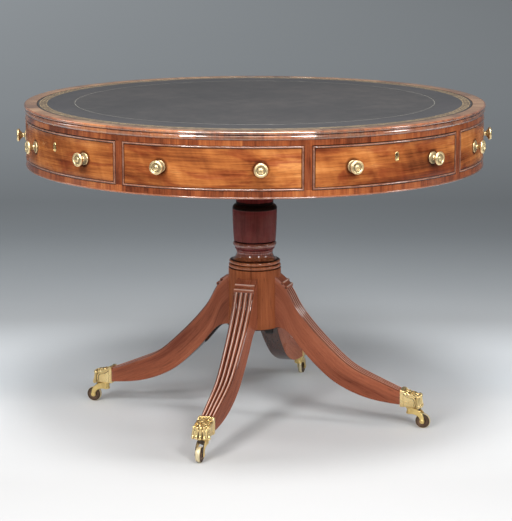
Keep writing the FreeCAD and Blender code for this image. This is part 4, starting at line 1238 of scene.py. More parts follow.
@dataclass
class Frieze(Part):
    """What shows of the drum's side: veneers, cock beads, the foot bead and the knobs."""

    radius: float = radius_of("top_rail")
    case_bottom: float = foot_of("bottom_rail")
    case_top: float = top_of("top_rail")
    opening_bottom: float = top_of("bottom_rail")
    opening_top: float = foot_of("top_rail")
    drawer_half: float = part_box("drawer_1_front")[1].x
    drawer_foot: float = foot_of("drawer_1_front")
    drawer_head: float = top_of("drawer_1_front")
    stile_width: float = 0.019
    bead_width: float = 0.0034
    bead_depth: float = 0.0080
    bead_nose: float = 0.0015
    foot_bead: float = 0.0036
    foot_bead_depth: float = 0.0050
    foot_bead_nose: float = 0.0016
    veneer_proud: float = 0.00014
    veneer_back: float = 0.0006
    veneer_gap: float = 0.0002
    edge_room: float = 0.0030
    keyhole_room: Pair = (0.0038, 0.0080)
    segments: int = 384
    false_half: float = field(init=False)

    def __post_init__(self) -> None:
        """Works out half the width of a false front along its curve."""
        stile_half = math.asin(self.stile_width / 2 / self.radius)
        self.false_half = self.radius * (math.radians(FRONT_PITCH / 2) - stile_half)

    def wrap(self, across: Array, height: Array, radius: Array, kind: FrontKind) -> Array:
        """Points of a front: across it, up it and out from the axis.

        On a drawer the place across is measured along Y, so x is the root of r^2 - y^2. On a false
        front it is measured along the curve, so the angle is its share of the frieze's radius.

        Args:
            across: Place across the front.
            height: Height.
            radius: Distance from the axis.
            kind: Which kind of front it is.

        Returns:
            The points.
        """
        if kind is FrontKind.DRAWER:
            return stacked(np.sqrt(radius**2 - across**2), across, height)
        angle = across / self.radius
        return stacked(radius * np.cos(angle), radius * np.sin(angle), height)

    def limits(self, kind: FrontKind) -> Triple:
        """Half the width, the lower edge and the upper edge of a front."""
        if kind is FrontKind.DRAWER:
            return self.drawer_half, self.drawer_foot, self.drawer_head
        return self.false_half, self.opening_bottom, self.opening_top

    def laid_on(self, across: Array, height: Array, kind: FrontKind, grain: Array,
                kept: Array | None = None) -> Sheet:
        """A sheet of veneer laid on the frieze.

        Args:
            across: Places across a front, in one row.
            height: Heights, in one column.
            kind: Which kind of front it is.
            grain: Places in the wood.
            kept: Which cells exist.

        Returns:
            The sheet.
        """
        front = self.wrap(across, height, self.radius + self.veneer_proud, kind)
        back = self.wrap(across, height, self.radius - self.veneer_back, kind)
        return plate(front, back, grain, kept)

    def veneer(self, kind: FrontKind) -> Sheet:
        """The figured sheet inside the cock beads, with a hole behind a drawer's keyhole."""
        half, low, high = self.limits(kind)
        inset = self.bead_width + self.veneer_gap
        half, low, high, room = half - inset, low + inset, high - inset, self.edge_room
        hole_across, hole_up = self.keyhole_room
        across = np.sort(np.r_[np.linspace(-half, half, 97), room - half, half - room,
                               -hole_across, hole_across])[None, :]
        height = np.sort(np.r_[np.linspace(low, high, 17), low + room, high - room,
                               KEYHOLE_HEIGHT - hole_up, KEYHOLE_HEIGHT + hole_up])[:, None]
        from_edge = np.minimum(half - np.abs(across), (high - low) / 2 - np.abs(height - (high + low) / 2))
        kept = np.ones((height.size - 1, across.size - 1), bool)
        if kind is FrontKind.DRAWER:
            beside = np.abs(across[:, :-1] + across[:, 1:]) / 2 > hole_across
            kept = beside | (np.abs((height[:-1] + height[1:]) / 2 - KEYHOLE_HEIGHT) > hole_up)
        # The third place in the wood is the distance from the edge, up to the room: the finish uses it to
        # paint shade along the edge.
        return self.laid_on(across, height, kind, stacked(across, height, np.minimum(from_edge, room)), kept)

    def cock_bead(self, kind: FrontKind) -> Sheet:
        """A mitred frame of round-nosed bead.

        A place on the bead's section is w in from the outer edge and r out from the axis, and the frame
        at w is the rectangle of half sides a - w and b - w, so that the corners meet in a mitre.

        Args:
            kind: Which kind of front it goes round.

        Returns:
            The frame.
        """
        half, low, high = self.limits(kind)
        nose = drawn((0, -self.bead_depth), (0, 0), (self.bead_width, 0, -self.bead_nose, 12),
                     (self.bead_width, -self.bead_depth), (0, -self.bead_depth))
        inset, out = nose[:, 0][None, :], self.radius + nose[:, 1][None, :]
        side, upright = np.linspace(-1, 1, 65)[:-1], np.linspace(-1, 1, 9)[:-1]
        flat, tall = np.ones_like(side), np.ones_like(upright)
        u = np.r_[side, tall, -side, -tall, -1.0][:, None]
        v = np.r_[-flat, upright, flat, -upright, -1.0][:, None]
        across = u * (half - inset)
        height = (low + high) / 2 + v * ((high - low) / 2 - inset)
        run = np.where(np.abs(v) == 1, across, height)
        return grid(self.wrap(across, height, out, kind), stacked(run, inset, out))

    def strip(self, start: float, end: float, low: float, high: float) -> Sheet:
        """A piece of crossbanding between two angles and two heights, its grain upright."""
        across = np.linspace(math.radians(start), math.radians(end), 5)[None, :] * self.radius
        height = np.linspace(low, high, 4)[:, None]
        return self.laid_on(across, height, FrontKind.FALSE, stacked(height, across, 0))

    def ring(self, low: float, high: float) -> Sheet:
        """A whole ring of crossbanding, its grain upright."""
        inner, outer = self.radius - self.veneer_back, self.radius + self.veneer_proud
        outline = drawn((inner, low), (outer, low), (outer, high), (inner, high), (inner, low))
        sheet = turned(outline, Grain.ACROSS, self.segments)
        return replace(sheet, grain=stacked(sheet.points[:, 2], sheet.grain[:, 1], 0))

    def foot_bead_outline(self) -> Array:
        """Section of the bead along the foot of the frieze."""
        front, low = self.radius, self.case_bottom
        back, top = front - self.foot_bead_depth, low + self.foot_bead
        return drawn((back, low), (front, low), (front, top, self.foot_bead_nose, 12), (back, top),
                     (back, low))

    def build(self) -> None:
        """Makes the fixed part of the frieze, then the four drawers' fronts."""
        finishes = self.finishes
        stile_edge = math.degrees(self.false_half / self.radius)
        rails = [self.ring(self.opening_top, self.case_top - self.veneer_gap),
                 self.ring(self.case_bottom + self.foot_bead, self.opening_bottom).cut_from(1.3)]
        for place, azimuth in enumerate(QUARTER_TURNS):
            for side in (-1, 1):
                start, end = sorted((side * stile_edge, side * (FRONT_PITCH - stile_edge)))
                strip = self.strip(start, end, self.opening_bottom, self.opening_top)
                rails.append(strip.cut_from(2.7 + place * 0.31 + side * 0.11).turned(azimuth))
        put("crossbanded_frieze", rails, finishes.bands, "drum", "crossband_veneer")
        bead = turned(self.foot_bead_outline(), Grain.ROUND, self.segments)
        put("frieze_foot_bead", [bead], finishes.beads, "drum", "mahogany", ["bottom_bead"])
        veneer, frame_bead = self.veneer(FrontKind.FALSE), self.cock_bead(FrontKind.FALSE)
        false_fronts = [(k, azimuth + FRONT_PITCH) for k, azimuth in enumerate(QUARTER_TURNS)]
        put("false_front_veneers", [veneer.cut_from(0.9 * (k + 1)).turned(a) for k, a in false_fronts],
            finishes.fronts, "drum", "figured_mahogany")
        put("false_front_cock_beads", [frame_bead.cut_from(0.7 * k).turned(a) for k, a in false_fronts],
            finishes.beads, "drum", "mahogany", ["dummy_cock_beads"], scale=0.0002)
        veneer, frame_bead = self.veneer(FrontKind.DRAWER), self.cock_bead(FrontKind.DRAWER)
        for number, azimuth in enumerate(QUARTER_TURNS, 1):
            drawer = f"drawer_{number}"
            put(f"{drawer}_veneer", [veneer.cut_from(0.9 * number + 4.2).turned(azimuth)], finishes.fronts,
                drawer, "figured_mahogany")
            put(f"{drawer}_bead_frame", [frame_bead.cut_from(0.7 * number + 3.1).turned(azimuth)],
                finishes.beads, drawer, "mahogany", [f"{drawer}_cock_bead"], scale=0.0002)


@dataclass
class Knobs(Part):
    """The turned brass knobs, two to a front."""

    face: float = radius_of("top_rail") + 0.00015
    front_thickness: float = 0.022
    shank: float = 0.0030
    nut_radius: float = 0.0070
    nut_height: float = 0.0035
    shank_end: float = 0.0045

    def outline(self) -> Array:
        """Section of a knob, from the end of its shank to the boss in the middle of its face."""
        end = -self.front_thickness - self.nut_height - self.shank_end
        return eased(drawn(
            (0, end), (self.shank, end), (self.shank, 0), (0.0132, 0), (0.0132, 0.0011),
            (0.0100, 0.0028, 0.0009, 6), (0.0094, 0.0028), (0.0092, 0.0040), (0.0066, 0.0043),
            (0.0062, 0.0112, -0.0013, 8), (0.0080, 0.0122), (0.0141, 0.0164, -0.0008, 8), (0.0148, 0.0176),
            (0.0112, 0.0225, 0.0017, 12), (0.0094, 0.0206, 0.0004, 5), (0.0083, 0.0202),
            (0.0066, 0.0206, 0.0006, 5), (0.0056, 0.0202), (0, 0.0221, 0.0008, 8)), 0.00035, 3, 30.0)

    def nut_outline(self) -> Array:
        """Section of the round nut behind the front, closed at its bore."""
        radius, top = self.nut_radius, -self.front_thickness
        low = top - self.nut_height
        return eased(drawn((0, low), (radius, low), (radius, top), (0, top)), 0.0006, 3)

    def pair(self) -> list[Sheet]:
        """The two knobs of a front drawn along +X, with their nuts."""
        shapes = [turned(self.outline(), segments=56), turned(self.nut_outline(), segments=24)]
        return [shape.laid().moved(self.face, 0, KNOB_HEIGHT).turned(azimuth)
                for azimuth in (90 - KNOB_SPREAD, 90 + KNOB_SPREAD) for shape in shapes]

    def build(self) -> None:
        """Makes the knobs of the drawers and of the false fronts."""
        pair, style = self.pair(), {"sharp": 50.0, "scale": 0.00022, "rounds": 8}
        sheets = [s.turned(a + FRONT_PITCH) for a in QUARTER_TURNS for s in pair]
        put("false_front_knobs", sheets, self.finishes.knobs, "drum", "brass", ["dummy_knobs"], **style)
        for number, azimuth in enumerate(QUARTER_TURNS, 1):
            drawer = f"drawer_{number}"
            put(f"{drawer}_turned_knobs", [s.turned(azimuth) for s in pair], self.finishes.knobs, drawer,
                "brass", [f"{drawer}_knobs"], **style)


@dataclass
class Keyholes(Part):
    """The raised brass rim round each drawer's keyhole plate."""

    face: float = radius_of("top_rail") + 0.0004
    half_width: float = 0.0044
    half_height: float = 0.0094
    bar: float = 0.0010
    square: float = 0.75

    def rim(self) -> Sheet:
        """A round bar on a closed path drawn upright at the frieze's face.

        The path is (w C(t), h S(t)) across and up, with C and S the cosine and sine raised to a power.

        Returns:
            The rim, drawn along +X.
        """
        t = np.linspace(0, 2 * math.pi, 49)
        path = stacked(self.half_width * raised(np.cos(t), self.square),
                       self.half_height * raised(np.sin(t), self.square))
        step = np.concatenate([[[0, 1.0]], path[2:] - path[:-2], [[0, 1.0]]])
        step /= np.linalg.norm(step, axis=1, keepdims=True)
        turn = np.linspace(0, 2 * math.pi, 13)[None, :]
        aside, out = self.bar * np.cos(turn), self.bar * np.sin(turn)
        return grid(stacked(self.face + out, path[:, :1] + step[:, 1:] * aside,
                            KEYHOLE_HEIGHT + path[:, 1:] - step[:, :1] * aside))

    def build(self) -> None:
        """Makes the four rims."""
        rim = self.rim()
        for number, azimuth in enumerate(QUARTER_TURNS, 1):
            put(f"drawer_{number}_keyhole_rim", [rim.turned(azimuth)], self.finishes.cast,
                f"drawer_{number}", "brass")


@dataclass
class Column(Part):
    """The turned column, from its plain block to the capital under the platform."""

    foot: float = foot_of("column")
    block_radius: float = 0.062
    block_top: float = 0.361
    quirk: float = 0.0016
    quirk_depth: float = 0.0024
    beads: tuple[Pair, ...] = ((0.0615, 0.008), (0.0602, 0.008))
    cove: float = 0.023
    neck_radius: float = 0.044
    neck: float = 0.004
    fillet_radius: float = 0.047
    fillet: float = 0.004
    ring_radius: float = 0.0514
    ring: float = 0.013
    barrel_foot: float = 0.0494
    barrel_bulge: float = 0.0006
    barrel_top: float = 0.0524
    collar: float = 0.0125
    throat: float = 0.033
    capital_cove: float = 0.030
    capital_radius: float = 0.060
    capital: float = 0.014
    platform_low: float = foot_of("bearing_platform")
    platform_top: float = top_of("bearing_platform")
    platform_radius: float = radius_of("bearing_platform")

    def outline(self) -> Array:
        """The column's section, from the axis at its foot to the axis at its top."""
        z = self.block_top
        stops = [(0, self.foot), (self.block_radius, self.foot), (self.block_radius, z)]
        for radius, height in self.beads:
            root = radius - self.quirk_depth
            foot, z = z + self.quirk, z + self.quirk + height
            stops += [(root, foot - self.quirk), (root, foot), (root, z, self.quirk_depth, 14)]
        stops.append((self.neck_radius, z + self.cove, -0.0066, 18))
        z += self.cove + self.neck
        fillet, ring_bulge = self.fillet_radius, self.ring_radius - self.fillet_radius
        stops += [(self.neck_radius, z), (fillet, z), (fillet, z + self.fillet)]
        z += self.fillet + self.ring
        stops += [(fillet, z, ring_bulge, 16), (fillet, z + self.quirk), (self.barrel_foot, z + self.quirk)]
        capital_foot = self.platform_low - self.capital
        throat_top = capital_foot - self.capital_cove
        collar_foot = throat_top - self.throat - self.collar
        top = self.platform_low - 0.0004
        stops += [(self.barrel_top, collar_foot, self.barrel_bulge, 24),
                  (self.neck_radius, collar_foot + self.collar, 0.0031, 12), (self.neck_radius, throat_top),
                  (self.capital_radius, capital_foot, -0.0066, 16), (self.capital_radius, top), (0, top)]
        return eased(drawn(*stops), 0.0007)

    def platform_outline(self) -> Array:
        """Section of the bearing platform, its arrises eased."""
        hole, edge, low, high = 0.0302, self.platform_radius, self.platform_low, self.platform_top
        return eased(drawn((hole, low), (edge, low), (edge, high), (hole, high), (hole, low)), 0.002)

    def build(self) -> None:
        """Makes the column and the platform."""
        shaft = turned(self.outline(), segments=128)
        put("turned_column", [shaft], self.finishes.column, "base", "mahogany", ["column"], scale=0.0006)
        board = turned(self.platform_outline(), segments=128)
        put("bearing_board", [board], self.finishes.platform, "base", "mahogany", ["bearing_platform"])


@dataclass
class Legs(Part):
    """The four splayed legs, reeded on top, with a plain head under two cross beads."""

    root: float = 0.062  # the column's block
    reach: float = 0.298
    foot_height: float = 0.056
    top_height: float = 0.338
    top_width: float = 0.048
    foot_width: float = 0.032
    reeds: int = 4
    reed_share: float = 0.26  # height of a reed, of its width
    head: float = 0.025
    head_rise: float = 0.0012
    bead_radius: float = 0.0036
    bead_overhang: float = 0.0008
    arris: float = 0.0009
    bead_shares: Pair = (0.54, 0.90)
    stations: tuple[tuple[float, ...], ...] = (
        (-0.040, 1.037, -0.040, 0.594, 0.00),
        (0.080, 0.926, 0.034, 0.587, 0.02),
        (0.148, 0.798, 0.087, 0.557, 0.06),
        (0.228, 0.681, 0.148, 0.486, 0.12),
        (0.329, 0.562, 0.232, 0.381, 0.22),
        (0.450, 0.436, 0.336, 0.270, 0.35),
        (0.597, 0.306, 0.466, 0.158, 0.52),
        (0.765, 0.219, 0.648, 0.065, 0.72),
        (0.916, 0.153, 0.832, 0.017, 0.90),
        (1.000, 0.118, 1.000, 0.000, 1.00),
    )

    def lines(self) -> tuple[Array, Array, Array]:
        """The upper line, the lower line and the half width of a leg, at matching places.

        Returns:
            Points of the upper line and of the lower line as (x, z), and the half widths.
        """
        table = np.array(self.stations)
        rise = self.top_height - self.foot_height
        size = np.array([self.reach, rise])
        start = np.array([self.root, self.foot_height])
        upper, lower = start + table[:, 0:2] * size, start + table[:, 2:4] * size
        half = (self.top_width + (self.foot_width - self.top_width) * table[:, 4:5]) / 2
        knots = np.concatenate([upper, lower, half], axis=1)
        tries, step = np.linspace(0, 1, 2001), 0.0004
        head_end = float(np.interp(self.root + self.head, smooth_line(knots, tries)[:, 0], tries))
        places = np.r_[np.linspace(0, head_end - step, 16), np.linspace(head_end, 1, 110)]
        values = smooth_line(knots, places)
        return values[:, 0:2], values[:, 2:4], values[:, 4]

    def skin(self) -> Sheet:
        """The leg's body.

        At each place the section is a ring: reeds along the upper edge as arcs of height h over their
        chords, then flat cheeks and a flat underside with rounded arrises. On the head the reeds give
        way to a flat top. The third place in the wood is 0 on a reed's crest, -3 mm in the grooves and
        beyond -10 mm on the cheeks and underneath.

        Returns:
            The closed skin.
        """
        upper, lower, half = self.lines()
        on_head = (upper[:, 0] < self.root + self.head - 0.0001)[:, None]
        up, half = upper - lower, half[:, None]
        depth = np.linalg.norm(up, axis=1, keepdims=True)
        up = up / depth
        phase = np.linspace(0, 1, 13)[:-1]
        share = np.r_[*[(k + phase) / self.reeds for k in range(self.reeds)], 1.0][None, :]
        arch = 1 - (2 * ((share * self.reeds) % 1.0) - 1) ** 2
        y_top = (2 * share - 1) * half
        h_top = np.where(on_head, self.head_rise, (arch - 1) * (2 * half / self.reeds * self.reed_share))
        low_turn = np.linspace(0, math.pi / 2, 4)[None, :]
        y_low = half - self.arris + self.arris * np.cos(low_turn)
        h_low = self.arris - self.arris * np.sin(low_turn) - depth
        cheek = np.array([0.01, 0.03, 0.08, 0.2, 0.4, 0.6, 0.8, 0.92, 0.97, 0.99])[None, :]
        h_cheek = h_top[:, -1:] + (h_low[:, :1] - h_top[:, -1:]) * cheek
        y_cheek, floor = half + 0 * h_cheek, np.linspace(0.9, -0.9, 9)[None, :] * half
        y = np.hstack([y_top, y_cheek, y_low, floor, -y_low[:, ::-1], -y_cheek[:, ::-1], y_top[:, :1]])
        h = np.hstack([h_top, h_cheek, h_low, 0 * floor - depth, h_low[:, ::-1], h_cheek[:, ::-1],
                       h_top[:, :1]])
        # The third place guides the finish: a painted highlight on each reed's crest and painted shade in
        # its grooves; the head and the cheeks get neither.
        crest = np.where(on_head, -0.0009, 0.003 * (arch - 1))
        third = np.hstack([crest, h[:, crest.shape[1] : -1] - 0.01, crest[:, :1]])
        run = run_along((upper + lower) / 2)[:, None]
        return closed_loft(stacked(upper[:, :1] + up[:, :1] * h, y, upper[:, 1:] + up[:, 1:] * h),
                           stacked(run, y, third))

    def cross_beads(self) -> list[Sheet]:
        """The two round beads across the head, with domed ends."""
        upper, _, half = self.lines()
        length, radius = half[0] + self.bead_overhang, self.bead_radius
        dome, shoulder = radius * 0.8, length - radius * 0.3
        outline = eased(drawn((0, -length), (dome, -length), (radius, -shoulder), (radius, shoulder),
                              (dome, length), (0, length)), 0.0006, 3)
        beads = []
        for share in self.bead_shares:
            x = self.root + self.head * share
            z = float(np.interp(x, upper[:, 0], upper[:, 1])) + self.head_rise
            bead = turned(outline, segments=32).across().moved(x, 0, z)
            # The third place is 0 along the line of a bead that faces out and up, where the finish paints a
            # highlight, and falls towards the side facing down and in, which gets painted shade.
            front = (bead.points[:, 0] - x + bead.points[:, 2] - z) * math.sqrt(0.5)
            grain = np.column_stack([bead.grain[:, :2], (front - radius) * 0.5])
            beads.append(replace(bead, grain=grain))
        return beads

    def build(self) -> None:
        """Makes the four legs."""
        sheets = [self.skin(), *self.cross_beads()]
        for number, quarter in enumerate(QUARTER_TURNS, 1):
            azimuth = LEG_AZIMUTH + quarter
            cut = [sheet.cut_from(1.7 * number).turned(azimuth) for sheet in sheets]
            # The legs' undersides, facing down and towards the column, get painted shade.
            put(f"reeded_leg_{number}", cut, self.finishes.legs, "base", "mahogany", [f"leg_{number}"],
                scale=0.0005, rounds=10, shaded_side=outward(azimuth, -0.7, -0.7))


@dataclass
class PawCaps(Part):
    """The cast lion paw caps: a collar, a mane of curled tufts and five long toes."""

    back: float = 0.360
    length: float = 0.052
    half: float = 0.018
    bottom: float = 0.051
    back_top: float = 0.0915
    band: float = 0.0072
    band_proud: float = 0.0012
    toes: int = 5
    toe_radius: float = 0.0052
    toe_flare: float = 0.0062
    toe_setback: float = 0.0040
    voxel: float = 0.0005

    def sleeve(self) -> Sheet:
        """The cap's body: rounded rectangles along X, whose top falls to the toes."""
        x, top, share = np.array([
            (0.0, 0.0910, 1.0), (0.005, 0.0890, 0.985), (0.012, 0.0850, 0.955), (0.020, 0.0822, 0.945),
            (0.030, 0.0800, 0.945), (0.038, 0.0788, 0.955), (0.0435, 0.0765, 0.93),
            (0.0470, 0.0700, 0.82)]).T
        return self.box_loft(self.back + x, share * self.half, top, 0.2)

    def box_loft(self, x: Array, half: Array, high: Array, square: float) -> Sheet:
        """Rounded rectangles at places along X, which all stand on the cap's lower edge.

        Each section is (w C(t), m + h S(t)), with C and S the cosine and sine raised to a small power,
        m the middle between its lower and upper edge and h half the way between them.

        Args:
            x: Places.
            half: Half widths.
            high: Upper edges.
            square: The power, smaller for squarer corners.

        Returns:
            The closed skin.
        """
        turn = np.linspace(0, 2 * math.pi, 65)[None, :]
        x, half, high = x[:, None], half[:, None], high[:, None]
        z = (self.bottom + high) / 2 + (high - self.bottom) / 2 * raised(np.sin(turn), square)
        return closed_loft(stacked(x, half * raised(np.cos(turn), square), z))

    def collar(self) -> list[Sheet]:
        """The flat band round the end of the leg, with a fine round along its back."""
        pieces = []
        for start, end, proud in ((0.0, 0.0013, 1.0), (0.0005, self.band, 0.75)):
            x = self.back + np.array([start, (start + end) / 2, end])
            grow = np.array([0.8, 1.0, 0.9]) * proud * self.band_proud
            pieces.append(self.box_loft(x, self.half + grow, self.back_top + grow, 0.14))
        return pieces

    def curl(self, middle: Triple, size: float, lean: float, way: int) -> Sheet:
        """A curl of hair: a tapering bar on a spiral whose middle is a hole.

        With t from 0 to 1, the angle is a turn and a half times t and the radius is s (1 - 0.62 t). The
        spiral lies in a plane that leans towards the toes, and its inner end rises.

        Args:
            middle: Its middle: from the cap's back, across the cap and up.
            size: Radius of its outer end.
            lean: Degrees that its plane leans.
            way: 1 or -1, the way it winds.

        Returns:
            The curl.
        """
        t = np.linspace(0, 1, 40)
        angle = way * (math.radians(150) + 2.7 * math.pi * t)
        radius = size * (1 - 0.62 * t)
        ahead, aside, rise = radius * np.cos(angle), radius * np.sin(angle), 0.0010 * t
        c, s = math.cos(math.radians(lean)), math.sin(math.radians(lean))
        x, y, z = middle
        path = stacked(self.back + x + ahead * c + rise * s, y + aside, z - ahead * s + rise * c)
        thick = size * 0.31 * (1 - 0.4 * t)
        return tube(path, thick, thick * 1.15)

    def mane(self) -> list[Sheet]:
        """Curls on top in three rows, and locks that fall down the sides."""
        hair = []
        rows = ((0.0150, 0.0862, 2, 0.0085, 0.0058, 24), (0.0255, 0.0832, 3, 0.0108, 0.0054, 16),
                (0.0355, 0.0808, 2, 0.0084, 0.0056, 28))
        for row, (x, z, count, spread, size, lean) in enumerate(rows):
            for k in range(count):
                share = 2 * k / (count - 1) - 1
                way = 1 if (k + row) % 2 else -1
                middle = (x, share * spread, z - 0.0012 * share**2)
                hair.append(self.curl(middle, size, lean, way))
        for side in (-1, 1):
            for x, z, length, tilt in ((0.0190, 0.0825, 0.0056, 34), (0.0255, 0.0805, 0.0058, 22),
                                       (0.0325, 0.0790, 0.0056, 30)):
                hair.append(lobe((self.back + x, side * (self.half - 0.0006), z), (length, 0.0016, 0.0022),
                                 tilt=tilt, square=0.9, steps=14))
        return hair

    def cheek_edges(self) -> list[Sheet]:
        """The raised edge over each flat cheek: it falls from the collar, runs on and curls down."""
        knots = np.array([(0.0070, 0.0885), (0.0120, 0.0830), (0.0185, 0.0785), (0.0260, 0.0762),
                          (0.0325, 0.0742), (0.0362, 0.0690), (0.0368, 0.0615), (0.0350, 0.0530)])
        line = smooth_line(knots, np.linspace(0, 1, 40))
        edges = []
        for side in (-1, 1):
            path = stacked(self.back + line[:, 0], side * (self.half - 0.0008), line[:, 1])
            edges.append(tube(path, np.full(40, 0.0019), np.linspace(0.0027, 0.0015, 40)))
        return edges

    def toe(self, share: float) -> list[Sheet]:
        """A toe: an upright flute that spreads to its foot, a knuckle over it and a lock above.

        Args:
            share: Place of the toe, from -1 to 1.

        Returns:
            Its forms.
        """
        reach = self.half - self.toe_radius + self.toe_flare
        x = self.back + self.length + 0.001 - self.toe_radius - self.toe_setback * share**2
        y, t = reach * share, np.linspace(0, 1, 14)
        path = stacked(x - 0.0030 + 0.0024 * t, y * (0.84 + 0.16 * t), 0.0785 - (0.0785 - self.bottom) * t)
        width = 0.0028 + 0.0008 * t
        knuckle = (x + 0.0002, y * 0.98, self.bottom + 0.0030)
        lock = (x - 0.0022, y * 0.86, self.bottom + 0.0262)
        return [tube(path, width, width * 1.15, square=0.8),
                lobe(knuckle, (0.0040, 0.0033, 0.0050), square=0.8),
                lobe(lock, (0.0046, 0.0036, 0.0034), tilt=20, yaw=14 * share)]

    def build(self) -> None:
        """Makes one paw and turns copies of it to the four legs."""
        toes = [part for share in np.linspace(-1, 1, self.toes) for part in self.toe(share)]
        forms = [self.sleeve(), *self.collar(), *self.mane(), *self.cheek_edges(), *toes]
        paw = fused("lion_paw", forms, self.voxel, 3)
        for number, quarter in enumerate(QUARTER_TURNS, 1):
            name = f"lion_paw_{number}"
            put(name, turned_copy(paw, name, LEG_AZIMUTH + quarter), self.finishes.cast, "base", "brass",
                [f"paw_cap_{number}"], sharp=80.0, scale=0.0006, rounds=28)
        bpy.data.meshes.remove(paw)


@dataclass
class Casters(Part):
    """The casters: a swivelling horn with two curved cheeks, an axle and a crowned wheel."""

    swivel: float = 0.381
    axle: float = 0.412
    wheel: float = 0.018
    wheel_half: float = 0.006
    cheek_in: float = 0.0070
    cheek_out: float = 0.0102
    block: float = 0.0102
    top: float = 0.0507
    block_height: float = 0.018
    pin: float = 0.0040
    pin_head: float = 0.0065
    voxel: float = 0.0005

    def horn_forms(self) -> list[Sheet]:
        """The closed forms that make a horn."""
        low, top, block = self.top - self.block_height, self.top, self.block
        head_foot, head_top = top + 0.0062, top + 0.0090
        neck = drawn((0, low), (block * 0.72, low), (block * 0.94, low + 0.0028, 0.0006, 6),
                     (block * 0.84, low + 0.0040), (block * 0.84, top - 0.0050, -0.0007, 8),
                     (block, top - 0.0036), (block, top, 0.0006, 6), (self.pin, top), (self.pin, head_foot),
                     (self.pin_head, head_foot), (self.pin_head, head_top), (0, head_top))
        forms = [turned(neck, segments=40).moved(self.swivel, 0, 0)]
        boss = turned(drawn((0, -0.0016), (0.0062, -0.0016), (0.0062, 0.0012), (0, 0.0022, 0.0005, 6)),
                      segments=28).across()
        t = np.linspace(0, 1, 24)
        angle = t * math.pi / 2
        x = self.swivel - 0.002 + (self.axle - self.swivel + 0.002) * np.sin(angle) ** 0.9
        z = self.wheel + (top - 0.0085 - self.wheel) * np.cos(angle) ** 0.85
        half = np.full_like(t, (self.cheek_out - self.cheek_in) / 2)
        for side in (-1, 1):
            middle = side * (self.cheek_in + self.cheek_out) / 2
            forms.append(tube(stacked(x, middle, z), half, 0.0084 - 0.0034 * t, square=0.45))
            side_boss = replace(boss, points=boss.points * np.array([1, side, 1]))
            forms.append(side_boss.moved(self.axle, middle, self.wheel))
            bridge = (self.swivel + 0.003, middle * 0.7, top - 0.0085)
            forms.append(lobe(bridge, (0.0075, 0.0045, 0.0075), square=0.6))
        forms.append(lobe((self.swivel + 0.010, 0, top - 0.0065), (0.0140, 0.0085, 0.0048), square=0.5))
        return forms

    def axle_pin(self) -> Sheet:
        """The axle between the cheeks, with riveted ends."""
        end, shank, head = self.cheek_out + 0.0014, 0.0025, 0.0034
        inner = end - 0.0010
        outline = drawn((0, -end), (head, -inner, 0.0003, 5), (shank, -inner), (shank, inner), (head, inner),
                        (0, end, 0.0003, 5))
        return turned(outline, segments=28).across().moved(self.axle, 0, self.wheel)

    def wheel_outline(self) -> Array:
        """Section of a wheel: hub, sunk web with a bead, crowned tread."""
        half, bore, hub, rim = self.wheel_half, 0.00256, 0.0058, self.wheel - 0.0045
        web = half - 0.0017
        side = drawn((bore, 0), (bore, half), (hub - 0.0008, half), (hub, half - 0.0006, 0.0002, 3),
                     (hub + 0.0003, web), (rim - 0.0006, web, -0.0004, 5), (rim, half - 0.0008),
                     (self.wheel - 0.0012, half - 0.0006, 0.0007, 6), (self.wheel, 0, 0.0006, 6))
        return eased(np.vstack([side, (side[::-1] * np.array([1, -1]))[1:]]), 0.0003, 2)

    def build(self) -> None:
        """Makes one horn and one wheel, and turns copies of them to the four legs."""
        finishes = self.finishes
        horn = fused("caster_horn", self.horn_forms(), self.voxel, 3)
        wheel = turned(self.wheel_outline(), segments=72).across().moved(self.axle, 0, self.wheel)
        pin = self.axle_pin()
        for number, quarter in enumerate(QUARTER_TURNS, 1):
            azimuth, name, body = LEG_AZIMUTH + quarter, f"cast_horn_{number}", f"horn_{number}"
            # The horns' outer faces, in the paws' shadow, get painted shade.
            put(name, turned_copy(horn, name, azimuth), finishes.horns, body, "caster_brass",
                [f"caster_horn_{number}"], sharp=80.0, rounds=14, shaded_side=outward(azimuth))
            put(f"caster_axle_{number}", [pin.turned(azimuth)], finishes.horns, body, "caster_brass",
                scale=0.0002)
            put(f"crowned_wheel_{number}", [wheel.turned(azimuth)], finishes.wheels, f"wheel_{number}",
                "caster_brass", [f"caster_wheel_{number}"], scale=0.0003)
        bpy.data.meshes.remove(horn)


class Carcase(Part):
    """The construction that stays as packed, and only gets its finishes."""

    def build(self) -> None:
        """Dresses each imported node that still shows."""
        finishes = self.finishes
        for node in ("top_rail", "bottom_rail", "stiles", "dummy_fronts"):
            dress(node, finishes.carcase)
        for node in ("drum_bottom", "partitions", "drawer_guides", "hub_block"):
            dress(node, finishes.lining_x)
        for node in ("spindle", "spindle_nut", "iron_brace", "iron_screws"):
            dress(node, finishes.iron)
        for number in range(1, 5):
            dress(f"drawer_{number}_front", finishes.carcase)
            dress(f"drawer_{number}_box", finishes.lining_y if number % 2 else finishes.lining_x)
            for metal in ("lock", "bolt"):
                dress(f"drawer_{number}_{metal}", finishes.knobs)


@dataclass(frozen=True)
class SoftLight:
    """An area lamp that looks at a point."""

    name: str
    azimuth: float  # from the camera's side, towards its right, in degrees
    height_angle: float
    distance: float
    width: float
    length: float
    watts: float
    tint: Colour = (1.0, 1.0, 1.0)


